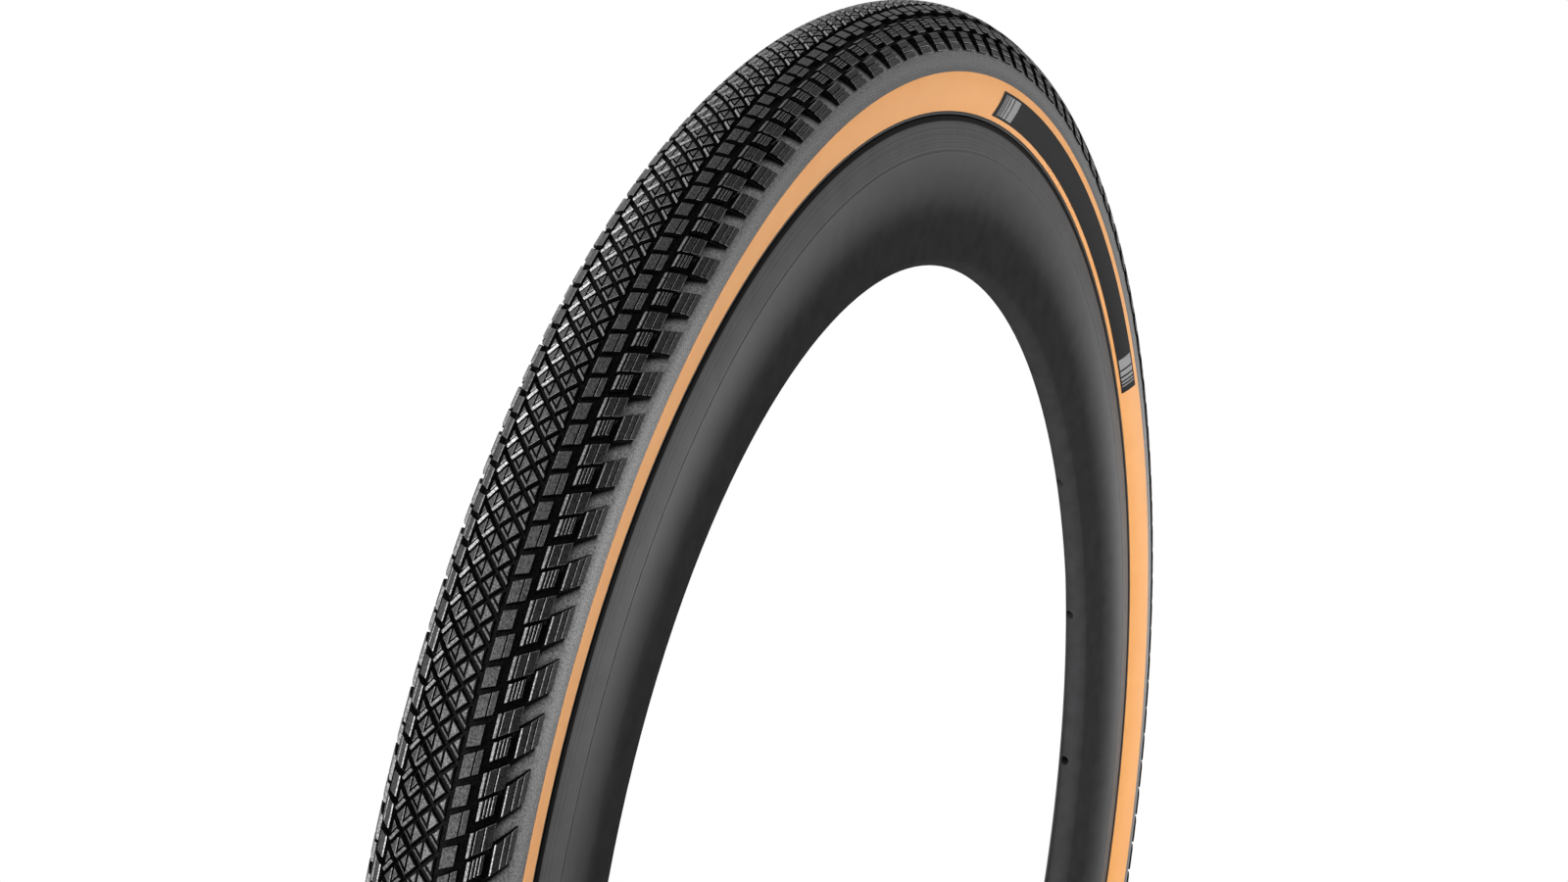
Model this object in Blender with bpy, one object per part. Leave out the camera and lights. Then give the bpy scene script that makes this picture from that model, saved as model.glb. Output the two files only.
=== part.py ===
"""Tubeless gravel tyre on a bare deep-section rim, with its long-stem valve.

Metres, +Z up. The origin is the wheel's centre and the axle runs along Y.
The valve stands at the bottom of the wheel and points at the centre.
"""

import math

import bmesh
import bpy
from mathutils import Matrix, Vector

MM = 0.001

# Wheel sizes
BEAD_SEAT_RADIUS = 311.0 * MM
TYRE_HEIGHT = 47.5 * MM
TYRE_WIDTH = 41.8 * MM
RING_STEPS = 36
CLEARANCE = 0.3 * MM

# Rim
RIM_WIDTH = 29.0 * MM
RIM_INNER_WIDTH = 24.4 * MM
RIM_BULGE = 0.5 * MM
RIM_DEPTH = 60.5 * MM
FLANGE_HEIGHT = 5.0 * MM
FLANGE_CHAMFER = 0.4 * MM
BRAKE_TRACK_HEIGHT = 14.5 * MM
SEAT_WIDTH = 4.0 * MM
WELL_DEPTH = 3.5 * MM
WELL_WIDTH = 11.0 * MM
RIM_WALL = 1.6 * MM
BED_WALL = 1.6 * MM
NOSE_WALL = 3.2 * MM
NOSE_RADIUS = 9.0 * MM
NOSE_ANGLES = (60.0, 30.0)
SIDE_STEPS = 4
BULGE_SHARE = 0.5
SPOKE_COUNT = 20
SPOKE_HOLE = 4.6 * MM
ACCESS_HOLE = 8.0 * MM
HOLE_SIDES = 6
TAPE_THICKNESS = 0.4 * MM

# Tyre section
SKIN = 1.8 * MM
SKIN_LOW_HALF_WIDTH = 14.9 * MM
SKIN_LOW_HEIGHT = 2.2 * MM
TREAD_EDGE_HEIGHT = 21.1 * MM
TREAD_THICKNESS = 3.6 * MM
TREAD_SHOULDER = 1.0 * MM
BELT_THICKNESS = 0.5 * MM
BELT_EDGE_ANGLE = 45.0
CASING_THICKNESS = 1.5 * MM
BEAD_CORE = 2.0 * MM
CHAFER_FOOT = 0.6 * MM
CHAFER_WALL = 0.9 * MM
BEAD_TOE = 5.0 * MM

# Tread blocks
PITCH_COUNT = 140
BLOCK_SHARE = 0.58
BLOCK_LEAN = 0.36
BLOCK_OUTER_ANGLE = 83.0
BLOCK_INNER_ANGLE = 63.0
BLOCK_HEIGHT = 1.7 * MM
OUTER_ROW_ANGLES = (60.5, 42.6)
INNER_ROW_ANGLES = (38.5, 25.5)
FIELD_EDGE_ANGLE = 21.5
CHANNEL_DEPTH = 2.0 * MM

# Valve
VALVE_STEPS = 12
VALVE_REACH = 24.0 * MM
STEM_DIAMETER = 6.0 * MM
STEM_TIP_DIAMETER = 5.2 * MM
STEM_TIP_LENGTH = 7.5 * MM
STEM_BORE = 2.6 * MM
STEM_HEAD_DIAMETER = 8.4 * MM
STEM_HEAD_THICKNESS = 1.2 * MM
CORE_BORE = 4.2 * MM
CORE_BORE_DEPTH = 18.5 * MM
GROMMET_DIAMETER = 9.6 * MM
GROMMET_TOP_DIAMETER = 8.4 * MM
GROMMET_HEIGHT = 4.0 * MM
O_RING_SECTION = 1.8 * MM
NUT_DIAMETER = 11.0 * MM
NUT_HEIGHT = 5.0 * MM
NUT_CHAMFER = 0.6 * MM
CORE_LENGTH = 11.7 * MM
CORE_HEAD_DIAMETER = 5.0 * MM
CORE_HEAD_HEIGHT = 5.0 * MM
CORE_FLATS = 4.2 * MM
PIN_DIAMETER = 1.6 * MM
PIN_FOOT_DIAMETER = 3.0 * MM
PIN_FOOT_THICKNESS = 0.7 * MM
PIN_REACH = 7.4 * MM
PIN_TIP_DIAMETER = 2.6 * MM
PIN_TIP_HEIGHT = 2.5 * MM
SEAL_DIAMETER = 3.4 * MM
SEAL_THICKNESS = 1.5 * MM
CORE_NUT_DIAMETER = 4.4 * MM
CORE_NUT_HEIGHT = 4.5 * MM
CAP_WALL = 1.0 * MM
CAP_TIP_DIAMETER = 4.6 * MM
CAP_END = 2.0 * MM

# Worked out from the sizes above
OUTER_RADIUS = BEAD_SEAT_RADIUS + TYRE_HEIGHT
HALF_WIDTH = TYRE_WIDTH / 2
WIDEST_RADIUS = OUTER_RADIUS - HALF_WIDTH
FLANGE_RADIUS = BEAD_SEAT_RADIUS + FLANGE_HEIGHT
NOSE_INNER_RADIUS = FLANGE_RADIUS - RIM_DEPTH
TRACK_Y = RIM_WIDTH / 2
FLANGE_INNER_Y = RIM_INNER_WIDTH / 2
TRACK_END_RADIUS = FLANGE_RADIUS - BRAKE_TRACK_HEIGHT
WELL_RADIUS = BEAD_SEAT_RADIUS - WELL_DEPTH
SEAT_INNER_Y = FLANGE_INNER_Y - SEAT_WIDTH
SKIN_LOW_RADIUS = FLANGE_RADIUS + SKIN_LOW_HEIGHT
LOW_DROP = WIDEST_RADIUS - SKIN_LOW_RADIUS
LOW_TUCK = HALF_WIDTH - SKIN_LOW_HALF_WIDTH
FLANK_ARC = (LOW_DROP ** 2 + LOW_TUCK ** 2) / (2 * LOW_TUCK)
SKIN_LOW_ANGLE = 90 + math.degrees(math.asin(LOW_DROP / FLANK_ARC))
TREAD_EDGE_DROP = WIDEST_RADIUS - BEAD_SEAT_RADIUS - TREAD_EDGE_HEIGHT
TREAD_EDGE_ANGLE = 90 + math.degrees(math.asin(TREAD_EDGE_DROP / FLANK_ARC))
CLEARANCE_ANGLE = math.degrees(CLEARANCE / FLANK_ARC)


def material(name, colour, roughness, metallic=0.0):
    """A plain Principled finish."""
    finish = bpy.data.materials.new(name)
    finish.use_nodes = True
    shader = finish.node_tree.nodes["Principled BSDF"]
    shader.inputs["Base Color"].default_value = (*colour, 1.0)
    shader.inputs["Roughness"].default_value = roughness
    shader.inputs["Metallic"].default_value = metallic
    return finish


def finish_object(name, bm, finish):
    """Turn a bmesh into a named, smooth shaded object with its faces pointing out."""
    bmesh.ops.remove_doubles(bm, verts=bm.verts, dist=1e-7)
    bmesh.ops.recalc_face_normals(bm, faces=bm.faces)
    mesh = bpy.data.meshes.new(name)
    bm.to_mesh(mesh)
    bm.free()
    mesh.shade_smooth()
    mesh.set_sharp_from_angle(angle=math.radians(30))
    mesh.materials.append(finish)
    obj = bpy.data.objects.new(name, mesh)
    bpy.context.collection.objects.link(obj)
    return obj


def spin_outline(points, axis, steps, closed=True):
    """Turn an outline of vectors a full round about an axis through the origin."""
    bm = bmesh.new()
    verts = [bm.verts.new(point) for point in points]
    pairs = list(zip(verts, verts[1:]))
    if closed:
        pairs.append((verts[-1], verts[0]))
    edges = [bm.edges.new(pair) for pair in pairs]
    bmesh.ops.spin(bm, geom=verts + edges, cent=(0, 0, 0), axis=axis, dvec=(0, 0, 0),
                   angle=2 * math.pi, steps=steps, use_merge=True, use_duplicate=False)
    return bm


def wheel_ring(name, outline, finish):
    """A ring about the axle from a closed outline of (y, radius) points."""
    points = [Vector((radius, y, 0)) for y, radius in outline]
    return finish_object(name, spin_outline(points, (0, 1, 0), RING_STEPS), finish)


def valve_piece(name, outline, finish, closed=True):
    """A turned valve piece from an outline of (radius, distance from the wheel's centre)."""
    points = [Vector((radius, 0, -reach)) for radius, reach in outline]
    return finish_object(name, spin_outline(points, (0, 0, 1), VALVE_STEPS, closed), finish)


def mirrored(half):
    """A closed outline from its +Y half, given from the middle round to the middle."""
    other = [(-y, radius) for y, radius in reversed(half) if y > 0]
    return half + other


def section(angle, flank_inset=0.0, crown_inset=0.0):
    """A point of the tyre's section: 0 degrees at the crown, 90 at the widest place."""
    if angle <= 90:
        turn = math.radians(angle)
        y = (HALF_WIDTH - flank_inset) * math.sin(turn)
        return y, WIDEST_RADIUS + (HALF_WIDTH - crown_inset) * math.cos(turn)
    turn = math.radians(angle - 90)
    arc = FLANK_ARC - flank_inset
    return HALF_WIDTH - FLANK_ARC + arc * math.cos(turn), WIDEST_RADIUS - arc * math.sin(turn)


def on_wheel(y, radius, degrees):
    """A point at an angle round the wheel, 0 at +X and 90 at the top."""
    turn = math.radians(degrees)
    return Vector((radius * math.cos(turn), y, radius * math.sin(turn)))


# Insets of the layers from the outer skin, at the flank and at the crown
TREAD_INNER = (TREAD_SHOULDER, TREAD_THICKNESS)
BELT_OUTER = (TREAD_SHOULDER + CLEARANCE, TREAD_THICKNESS + CLEARANCE)
BELT_INNER = (BELT_OUTER[0] + BELT_THICKNESS, BELT_OUTER[1] + BELT_THICKNESS)
WING_INNER = (SKIN, BELT_INNER[1])
CASING_OUTER = (SKIN + CLEARANCE, BELT_INNER[1] + CLEARANCE)
CASING_INNER = (CASING_OUTER[0] + CASING_THICKNESS, CASING_OUTER[1] + CASING_THICKNESS)


def make_sidewall(name, side, finish):
    """The tan skin between the tread's edge and the bead strip."""
    middle = (TREAD_EDGE_ANGLE + SKIN_LOW_ANGLE) / 2
    angles = (TREAD_EDGE_ANGLE, middle, SKIN_LOW_ANGLE)
    outline = [section(angle) for angle in angles]
    outline += [section(angle, SKIN) for angle in reversed(angles)]
    return wheel_ring(name, [(side * y, radius) for y, radius in outline], finish)


def make_belt(finish):
    """The breaker strip bedded under the tread."""
    half = [section(0, *BELT_OUTER), section(BELT_EDGE_ANGLE, *BELT_OUTER)]
    half += [section(BELT_EDGE_ANGLE, *BELT_INNER), section(0, *BELT_INNER)]
    return wheel_ring("breaker_belt", mirrored(half), finish)


# The bead: the chafer wraps the foot, and the core lies between casing and chafer
CHAFER_OUTER_Y = FLANGE_INNER_Y - CLEARANCE
CHAFER_INNER_Y = CHAFER_OUTER_Y - CHAFER_WALL
CHAFER_BOTTOM = BEAD_SEAT_RADIUS + CLEARANCE
FOOT_RADIUS = CHAFER_BOTTOM + CHAFER_FOOT + CLEARANCE
CORE_RADIUS = FOOT_RADIUS + BEAD_CORE / 2
CORE_Y = CHAFER_INNER_Y - CLEARANCE - BEAD_CORE / 2
CASING_FOOT_Y = CORE_Y - BEAD_CORE / 2 - CLEARANCE
TOE_Y = FLANGE_INNER_Y - BEAD_TOE
KNEE_RADIUS = FOOT_RADIUS + BEAD_CORE + CLEARANCE


def make_casing(finish):
    """The corded carcass, from foot to foot over the crown."""
    angles = (0, BELT_EDGE_ANGLE, 90, SKIN_LOW_ANGLE)
    half = [section(angle, *CASING_OUTER) for angle in angles]
    half += [(CASING_FOOT_Y, KNEE_RADIUS), (CASING_FOOT_Y, FOOT_RADIUS), (TOE_Y, FOOT_RADIUS)]
    half += [(TOE_Y, KNEE_RADIUS + CASING_THICKNESS / 2)]
    half += [section(angle, *CASING_INNER) for angle in reversed(angles)]
    return wheel_ring("casing", mirrored(half), finish)


def make_bead_core(name, side, finish):
    """The stretch-free aramid hoop, laid square."""
    half = BEAD_CORE / 2
    corners = ((-half, -half), (half, -half), (half, half), (-half, half))
    return wheel_ring(name, [(side * (CORE_Y + y), CORE_RADIUS + up) for y, up in corners], finish)


def make_chafer(name, side, finish):
    """The rubber strip that shows above the flange and wraps the bead's foot."""
    low = SKIN_LOW_ANGLE + CLEARANCE_ANGLE
    lip = FLANGE_RADIUS + CLEARANCE
    outline = [section(low), (TRACK_Y - CLEARANCE, lip), (CHAFER_OUTER_Y, lip)]
    outline += [(CHAFER_OUTER_Y, CHAFER_BOTTOM), (TOE_Y, CHAFER_BOTTOM)]
    outline += [(TOE_Y, CHAFER_BOTTOM + CHAFER_FOOT), (CHAFER_INNER_Y, CHAFER_BOTTOM + CHAFER_FOOT)]
    outline += [(CHAFER_INNER_Y, lip - CLEARANCE), section(low, SKIN)]
    return wheel_ring(name, [(side * y, radius) for y, radius in outline], finish)


def stitch(bm, loop_a, loop_b):
    """Close the band between two rings of (degrees, vertex), each sorted round the wheel."""
    count_a, count_b = len(loop_a), len(loop_b)
    at_a = at_b = 0
    while at_a < count_a or at_b < count_b:
        next_a = loop_a[(at_a + 1) % count_a][0] + 360 * ((at_a + 1) // count_a)
        next_b = loop_b[(at_b + 1) % count_b][0] + 360 * ((at_b + 1) // count_b)
        here_a = loop_a[at_a % count_a][1]
        here_b = loop_b[at_b % count_b][1]
        if at_b >= count_b or (at_a < count_a and next_a <= next_b):
            at_a += 1
            bm.faces.new((here_a, loop_a[at_a % count_a][1], here_b))
        else:
            at_b += 1
            bm.faces.new((here_a, loop_b[at_b % count_b][1], here_b))


def plain_loop(bm, point):
    """A ring of vertices at the wheel's own steps."""
    angles = [360 * step / RING_STEPS for step in range(RING_STEPS)]
    return [(angle, bm.verts.new(on_wheel(*point, angle))) for angle in angles]


def shoulder_loops(bm, side):
    """The corners of one shoulder's blocks: a ring at the outer end, and the inner end's top and floor."""
    pitch = 360 / PITCH_COUNT
    ends = {}
    corners = (("outer", BLOCK_OUTER_ANGLE, 0.0, 0.0),
               ("inner_top", BLOCK_INNER_ANGLE, 0.0, BLOCK_LEAN),
               ("inner_floor", BLOCK_INNER_ANGLE, BLOCK_HEIGHT, BLOCK_LEAN))
    for name, angle, inset, lean in corners:
        y, radius = section(angle, inset, inset)
        loop = []
        for number in range(PITCH_COUNT):
            for share in (0.0, BLOCK_SHARE):
                degrees = pitch * (number + share + lean)
                loop.append((degrees, bm.verts.new(on_wheel(side * y, radius, degrees))))
        ends[name] = loop
    return ends


def make_tread(finish):
    """The tread: leaning shoulder blocks, two rows on each side and the middle field, with channels between."""
    bm = bmesh.new()
    edge = TREAD_EDGE_ANGLE - CLEARANCE_ANGLE
    recess = BELT_EDGE_ANGLE + math.degrees(CLEARANCE / HALF_WIDTH)
    crown = plain_loop(bm, section(0))
    under_crown = plain_loop(bm, section(0, *TREAD_INNER))
    for side in (-1, 1):

        def ring_at(angle, *insets):
            y, radius = section(angle, *insets)
            return plain_loop(bm, (side * y, radius))

        def channel_between(start, end):
            return ring_at((start + end) / 2, CHANNEL_DEPTH, CHANNEL_DEPTH)

        ends = shoulder_loops(bm, side)
        rim_edge = ring_at(edge)
        outside = [ends["inner_floor"]]
        outside += [ring_at(angle) for angle in OUTER_ROW_ANGLES]
        outside += [channel_between(OUTER_ROW_ANGLES[1], INNER_ROW_ANGLES[0])]
        outside += [ring_at(angle) for angle in INNER_ROW_ANGLES]
        outside += [channel_between(INNER_ROW_ANGLES[1], FIELD_EDGE_ANGLE)]
        outside += [ring_at(FIELD_EDGE_ANGLE), crown]
        inside = [under_crown, ring_at(BELT_EDGE_ANGLE, *TREAD_INNER), ring_at(recess, *TREAD_INNER)]
        inside += [ring_at(recess, *WING_INNER), ring_at(90, *WING_INNER), ring_at(edge, SKIN), rim_edge]
        inside += [ends["outer"]]
        for rings in (outside, inside):
            for ring_a, ring_b in zip(rings, rings[1:]):
                stitch(bm, ring_a, ring_b)
        corner_count = 2 * PITCH_COUNT
        for corner in range(corner_count):
            here = {name: loop[corner][1] for name, loop in ends.items()}
            there = {name: loop[(corner + 1) % corner_count][1] for name, loop in ends.items()}
            over_block = ("outer", "inner_top", "inner_floor")
            over_gap = ("outer", "inner_floor")
            path = over_gap if corner % 2 else over_block
            for low, high in zip(path, path[1:]):
                bm.faces.new((here[low], there[low], there[high], here[high]))
            bm.faces.new([here[name] for name in over_block])
    return finish_object("tread", bm, finish)


def rim_outline():
    """The rim's outside, from the middle of the well round the flange to the nose."""
    half = [(WELL_WIDTH / 2, WELL_RADIUS), (SEAT_INNER_Y, BEAD_SEAT_RADIUS)]
    half += [(FLANGE_INNER_Y, BEAD_SEAT_RADIUS), (FLANGE_INNER_Y, FLANGE_RADIUS)]
    half += [(TRACK_Y - FLANGE_CHAMFER, FLANGE_RADIUS), (TRACK_Y, FLANGE_RADIUS - FLANGE_CHAMFER)]
    half += [rim_side(step / SIDE_STEPS) for step in range(SIDE_STEPS)]
    half += [nose(angle) for angle in (*NOSE_ANGLES, 0)]
    return mirrored(half)


def nose(angle, wall=0.0):
    """A point of the rounded nose, 0 degrees at the middle."""
    turn = math.radians(angle)
    centre = NOSE_INNER_RADIUS + NOSE_RADIUS
    return (NOSE_RADIUS - wall) * math.sin(turn), centre - (NOSE_RADIUS - wall) * math.cos(turn)


def rim_side(share, wall=0.0):
    """A point of the bulged flank, 0 at the brake track's end and 1 at the nose."""
    end_y, end_radius = nose(NOSE_ANGLES[0])
    bulge = RIM_BULGE * math.sin(math.pi * min(share / BULGE_SHARE, 1.0))
    sweep = 1 - math.cos(share * math.pi / 2)
    y = TRACK_Y + bulge - (TRACK_Y - end_y) * sweep
    return y - wall, TRACK_END_RADIUS + (end_radius - TRACK_END_RADIUS) * share


def radial_drill(name, degrees_list, diameter, start, end, sides):
    """A cutter of round bars along the radius at each angle."""
    bm = bmesh.new()
    for degrees in degrees_list:
        middle = on_wheel(0, (start + end) / 2, degrees)
        turn = Matrix.Rotation(math.radians(90 - degrees), 4, "Y")
        turn @= Matrix.Rotation(math.pi / sides, 4, "Z")
        bmesh.ops.create_cone(bm, cap_ends=True, segments=sides, radius1=diameter / 2,
                              radius2=diameter / 2, depth=end - start,
                              matrix=Matrix.Translation(middle) @ turn)
    return hidden_cutter(name, bm)


def hidden_cutter(name, bm):
    """A cutter that is kept out of the part."""
    bmesh.ops.recalc_face_normals(bm, faces=bm.faces)
    mesh = bpy.data.meshes.new(name)
    bm.to_mesh(mesh)
    bm.free()
    cutter = bpy.data.objects.new(name, mesh)
    cutter.hide_render = True
    cutter.display_type = "WIRE"
    bpy.context.collection.objects.link(cutter)
    return cutter


def cut(obj, cutter):
    """Take a cutter out of an object."""
    boolean = obj.modifiers.new(cutter.name, "BOOLEAN")
    boolean.operation = "DIFFERENCE"
    boolean.solver = "EXACT"
    boolean.object = cutter


VALVE_ANGLE = -90.0
SPOKE_STEP = 360 / SPOKE_COUNT
SPOKE_ANGLES = [VALVE_ANGLE + SPOKE_STEP * (number + 0.5) for number in range(SPOKE_COUNT)]
VALVE_HOLE = STEM_DIAMETER + 2 * CLEARANCE


def make_rim(finish):
    """The hollow deep rim: brake tracks, hookless flanges, well, spoke and valve holes."""
    rim = wheel_ring("rim", rim_outline(), finish)
    top = WELL_RADIUS - BED_WALL
    half = [(WELL_WIDTH / 2, top), (TRACK_Y - RIM_WALL, BEAD_SEAT_RADIUS - 2 * BED_WALL)]
    half += [rim_side(step / SIDE_STEPS, RIM_WALL) for step in (0, SIDE_STEPS / 2)]
    half += [nose(NOSE_ANGLES[0], RIM_WALL), (0, NOSE_INNER_RADIUS + NOSE_WALL)]
    points = [Vector((radius, y, 0)) for y, radius in mirrored(half)]
    cut(rim, hidden_cutter("rim_hollow", spin_outline(points, (0, 1, 0), RING_STEPS)))
    hollow_middle = (top + NOSE_INNER_RADIUS + NOSE_WALL) / 2
    below = NOSE_INNER_RADIUS - NOSE_WALL
    above = BEAD_SEAT_RADIUS + BED_WALL
    cut(rim, radial_drill("spoke_drill", SPOKE_ANGLES, SPOKE_HOLE, below, hollow_middle, HOLE_SIDES))
    cut(rim, radial_drill("access_drill", SPOKE_ANGLES, ACCESS_HOLE, hollow_middle, above, HOLE_SIDES))
    cut(rim, radial_drill("valve_drill", [VALVE_ANGLE], VALVE_HOLE, below, above, VALVE_STEPS))
    return rim


def make_tape(finish):
    """The sealing tape over the well and its two ramps, with the valve's hole through it."""
    ramp = math.atan2(WELL_DEPTH, SEAT_INNER_Y - WELL_WIDTH / 2)
    outline = []
    for lift in (CLEARANCE, CLEARANCE + TAPE_THICKNESS):
        fold_y = WELL_WIDTH / 2 - lift * math.tan(ramp / 2)
        end_y = SEAT_INNER_Y - lift * math.sin(ramp) - CLEARANCE
        end_radius = WELL_RADIUS + lift + (end_y - fold_y) * math.tan(ramp)
        row = [(-end_y, end_radius), (-fold_y, WELL_RADIUS + lift)]
        row += [(fold_y, WELL_RADIUS + lift), (end_y, end_radius)]
        outline += row if lift == CLEARANCE else list(reversed(row))
    tape = wheel_ring("rim_tape", outline, finish)
    drill = radial_drill("tape_drill", [VALVE_ANGLE], VALVE_HOLE, WELL_RADIUS - BED_WALL,
                         BEAD_SEAT_RADIUS + BED_WALL, VALVE_STEPS)
    cut(tape, drill)
    return tape


# Places along the valve, as distances from the wheel's centre
GROMMET_FOOT = WELL_RADIUS + 2 * CLEARANCE + TAPE_THICKNESS
HEAD_FOOT = GROMMET_FOOT + GROMMET_HEIGHT + CLEARANCE
STEM_END = NOSE_INNER_RADIUS - VALVE_REACH
TIP_START = STEM_END + STEM_TIP_LENGTH
O_RING_TOP = NOSE_INNER_RADIUS - CLEARANCE
NUT_TOP = O_RING_TOP - O_RING_SECTION - CLEARANCE
CORE_SEAT = STEM_END - CLEARANCE
CORE_END = CORE_SEAT + CORE_LENGTH
CORE_HEAD_END = CORE_SEAT - CORE_HEAD_HEIGHT
CORE_NUT_FOOT = CORE_HEAD_END - CLEARANCE
CORE_NUT_END = CORE_NUT_FOOT - CORE_NUT_HEIGHT
PIN_END = CORE_NUT_END - PIN_REACH
SEAL_START = CORE_END + CLEARANCE
FOOT_START = SEAL_START + SEAL_THICKNESS + CLEARANCE
CAP_OPEN_END = TIP_START - CLEARANCE
PIN_BORE = PIN_DIAMETER + 2 * CLEARANCE


def make_stem(finish):
    """The threaded stem: head inside the tyre, slimmer tip for the cap, stepped bore."""
    outer = STEM_DIAMETER / 2
    tip = STEM_TIP_DIAMETER / 2
    head = STEM_HEAD_DIAMETER / 2
    bore = STEM_BORE / 2
    socket = CORE_BORE / 2
    shoulder = STEM_END + CORE_BORE_DEPTH
    outline = [(socket, STEM_END), (tip, STEM_END), (tip, TIP_START), (outer, TIP_START)]
    outline += [(outer, HEAD_FOOT), (head, HEAD_FOOT), (head, HEAD_FOOT + STEM_HEAD_THICKNESS)]
    outline += [(bore, HEAD_FOOT + STEM_HEAD_THICKNESS), (bore, shoulder), (socket, shoulder)]
    return valve_piece("valve_stem", outline, finish)


def make_tube(name, bore, outer, start, end, finish, top_outer=None):
    """A plain turned sleeve along the valve."""
    far = outer if top_outer is None else top_outer
    outline = [(bore / 2, start), (outer / 2, start), (far / 2, end), (bore / 2, end)]
    return valve_piece(name, outline, finish)


def make_o_ring(finish):
    """The round rubber ring under the lock nut."""
    half = O_RING_SECTION / 2
    middle = VALVE_HOLE / 2 + half
    outline = []
    for corner in range(8):
        turn = math.radians(45 * corner)
        outline.append((middle + half * math.cos(turn), O_RING_TOP - half + half * math.sin(turn)))
    return valve_piece("valve_o_ring", outline, finish)


def make_lock_nut(finish):
    """The round lock nut, with chamfered ends."""
    bore = VALVE_HOLE / 2
    outer = NUT_DIAMETER / 2
    low = NUT_TOP - NUT_HEIGHT
    outline = [(bore, low), (outer - NUT_CHAMFER, low), (outer, low + NUT_CHAMFER)]
    outline += [(outer, NUT_TOP - NUT_CHAMFER), (outer - NUT_CHAMFER, NUT_TOP), (bore, NUT_TOP)]
    return valve_piece("valve_lock_nut", outline, finish)


def make_core(finish):
    """The removable core: a sleeve in the stem and a head with two wrench flats."""
    bore = PIN_BORE / 2
    sleeve = CORE_BORE / 2 - CLEARANCE
    head = CORE_HEAD_DIAMETER / 2
    outline = [(bore, CORE_HEAD_END), (head, CORE_HEAD_END), (head, CORE_SEAT)]
    outline += [(sleeve, CORE_SEAT), (sleeve, CORE_END), (bore, CORE_END)]
    core = valve_piece("valve_core", outline, finish)
    bm = bmesh.new()
    for side in (-1, 1):
        middle = Vector((0, side * (CORE_FLATS + CORE_HEAD_DIAMETER) / 2, -(CORE_HEAD_END + CORE_SEAT) / 2))
        size = Matrix.Diagonal((2 * CORE_HEAD_DIAMETER, CORE_HEAD_DIAMETER, 2 * CORE_HEAD_HEIGHT, 1))
        bmesh.ops.create_cube(bm, size=1, matrix=Matrix.Translation(middle) @ size)
    cut(core, hidden_cutter("core_flats", bm))
    return core


def make_pin(finish):
    """The pin: a foot that holds the seal, a slim shank and a swaged tip."""
    shank = PIN_DIAMETER / 2
    foot = PIN_FOOT_DIAMETER / 2
    tip = PIN_TIP_DIAMETER / 2
    foot_end = FOOT_START + PIN_FOOT_THICKNESS
    outline = [(0, PIN_END), (tip, PIN_END), (tip, PIN_END + PIN_TIP_HEIGHT)]
    outline += [(shank, PIN_END + PIN_TIP_HEIGHT), (shank, FOOT_START)]
    outline += [(foot, FOOT_START), (foot, foot_end), (0, foot_end)]
    return valve_piece("valve_pin", outline, finish, closed=False)


def make_cap(finish):
    """The tapered cap, hollow over the core, its nut and the pin."""
    bore = STEM_TIP_DIAMETER / 2 + CLEARANCE
    outer = bore + CAP_WALL
    inside_end = PIN_END - 2 * CLEARANCE
    outline = [(0, inside_end), (bore, inside_end), (bore, CAP_OPEN_END), (outer, CAP_OPEN_END)]
    outline += [(outer, CORE_SEAT), (CAP_TIP_DIAMETER / 2 + CAP_WALL, inside_end)]
    outline += [(CAP_TIP_DIAMETER / 2, inside_end - CAP_END), (0, inside_end - CAP_END)]
    return valve_piece("valve_cap", outline, finish, closed=False)


def hang_on_axis(pieces):
    """Give each moving valve piece a parent empty on the valve's axis."""
    for piece in pieces:
        empty = bpy.data.objects.new(piece.name + "_axis", None)
        empty.location = (0, 0, -NOSE_INNER_RADIUS)
        bpy.context.collection.objects.link(empty)
        piece.parent = empty
        piece.matrix_parent_inverse = Matrix.Translation((0, 0, NOSE_INNER_RADIUS))


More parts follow.
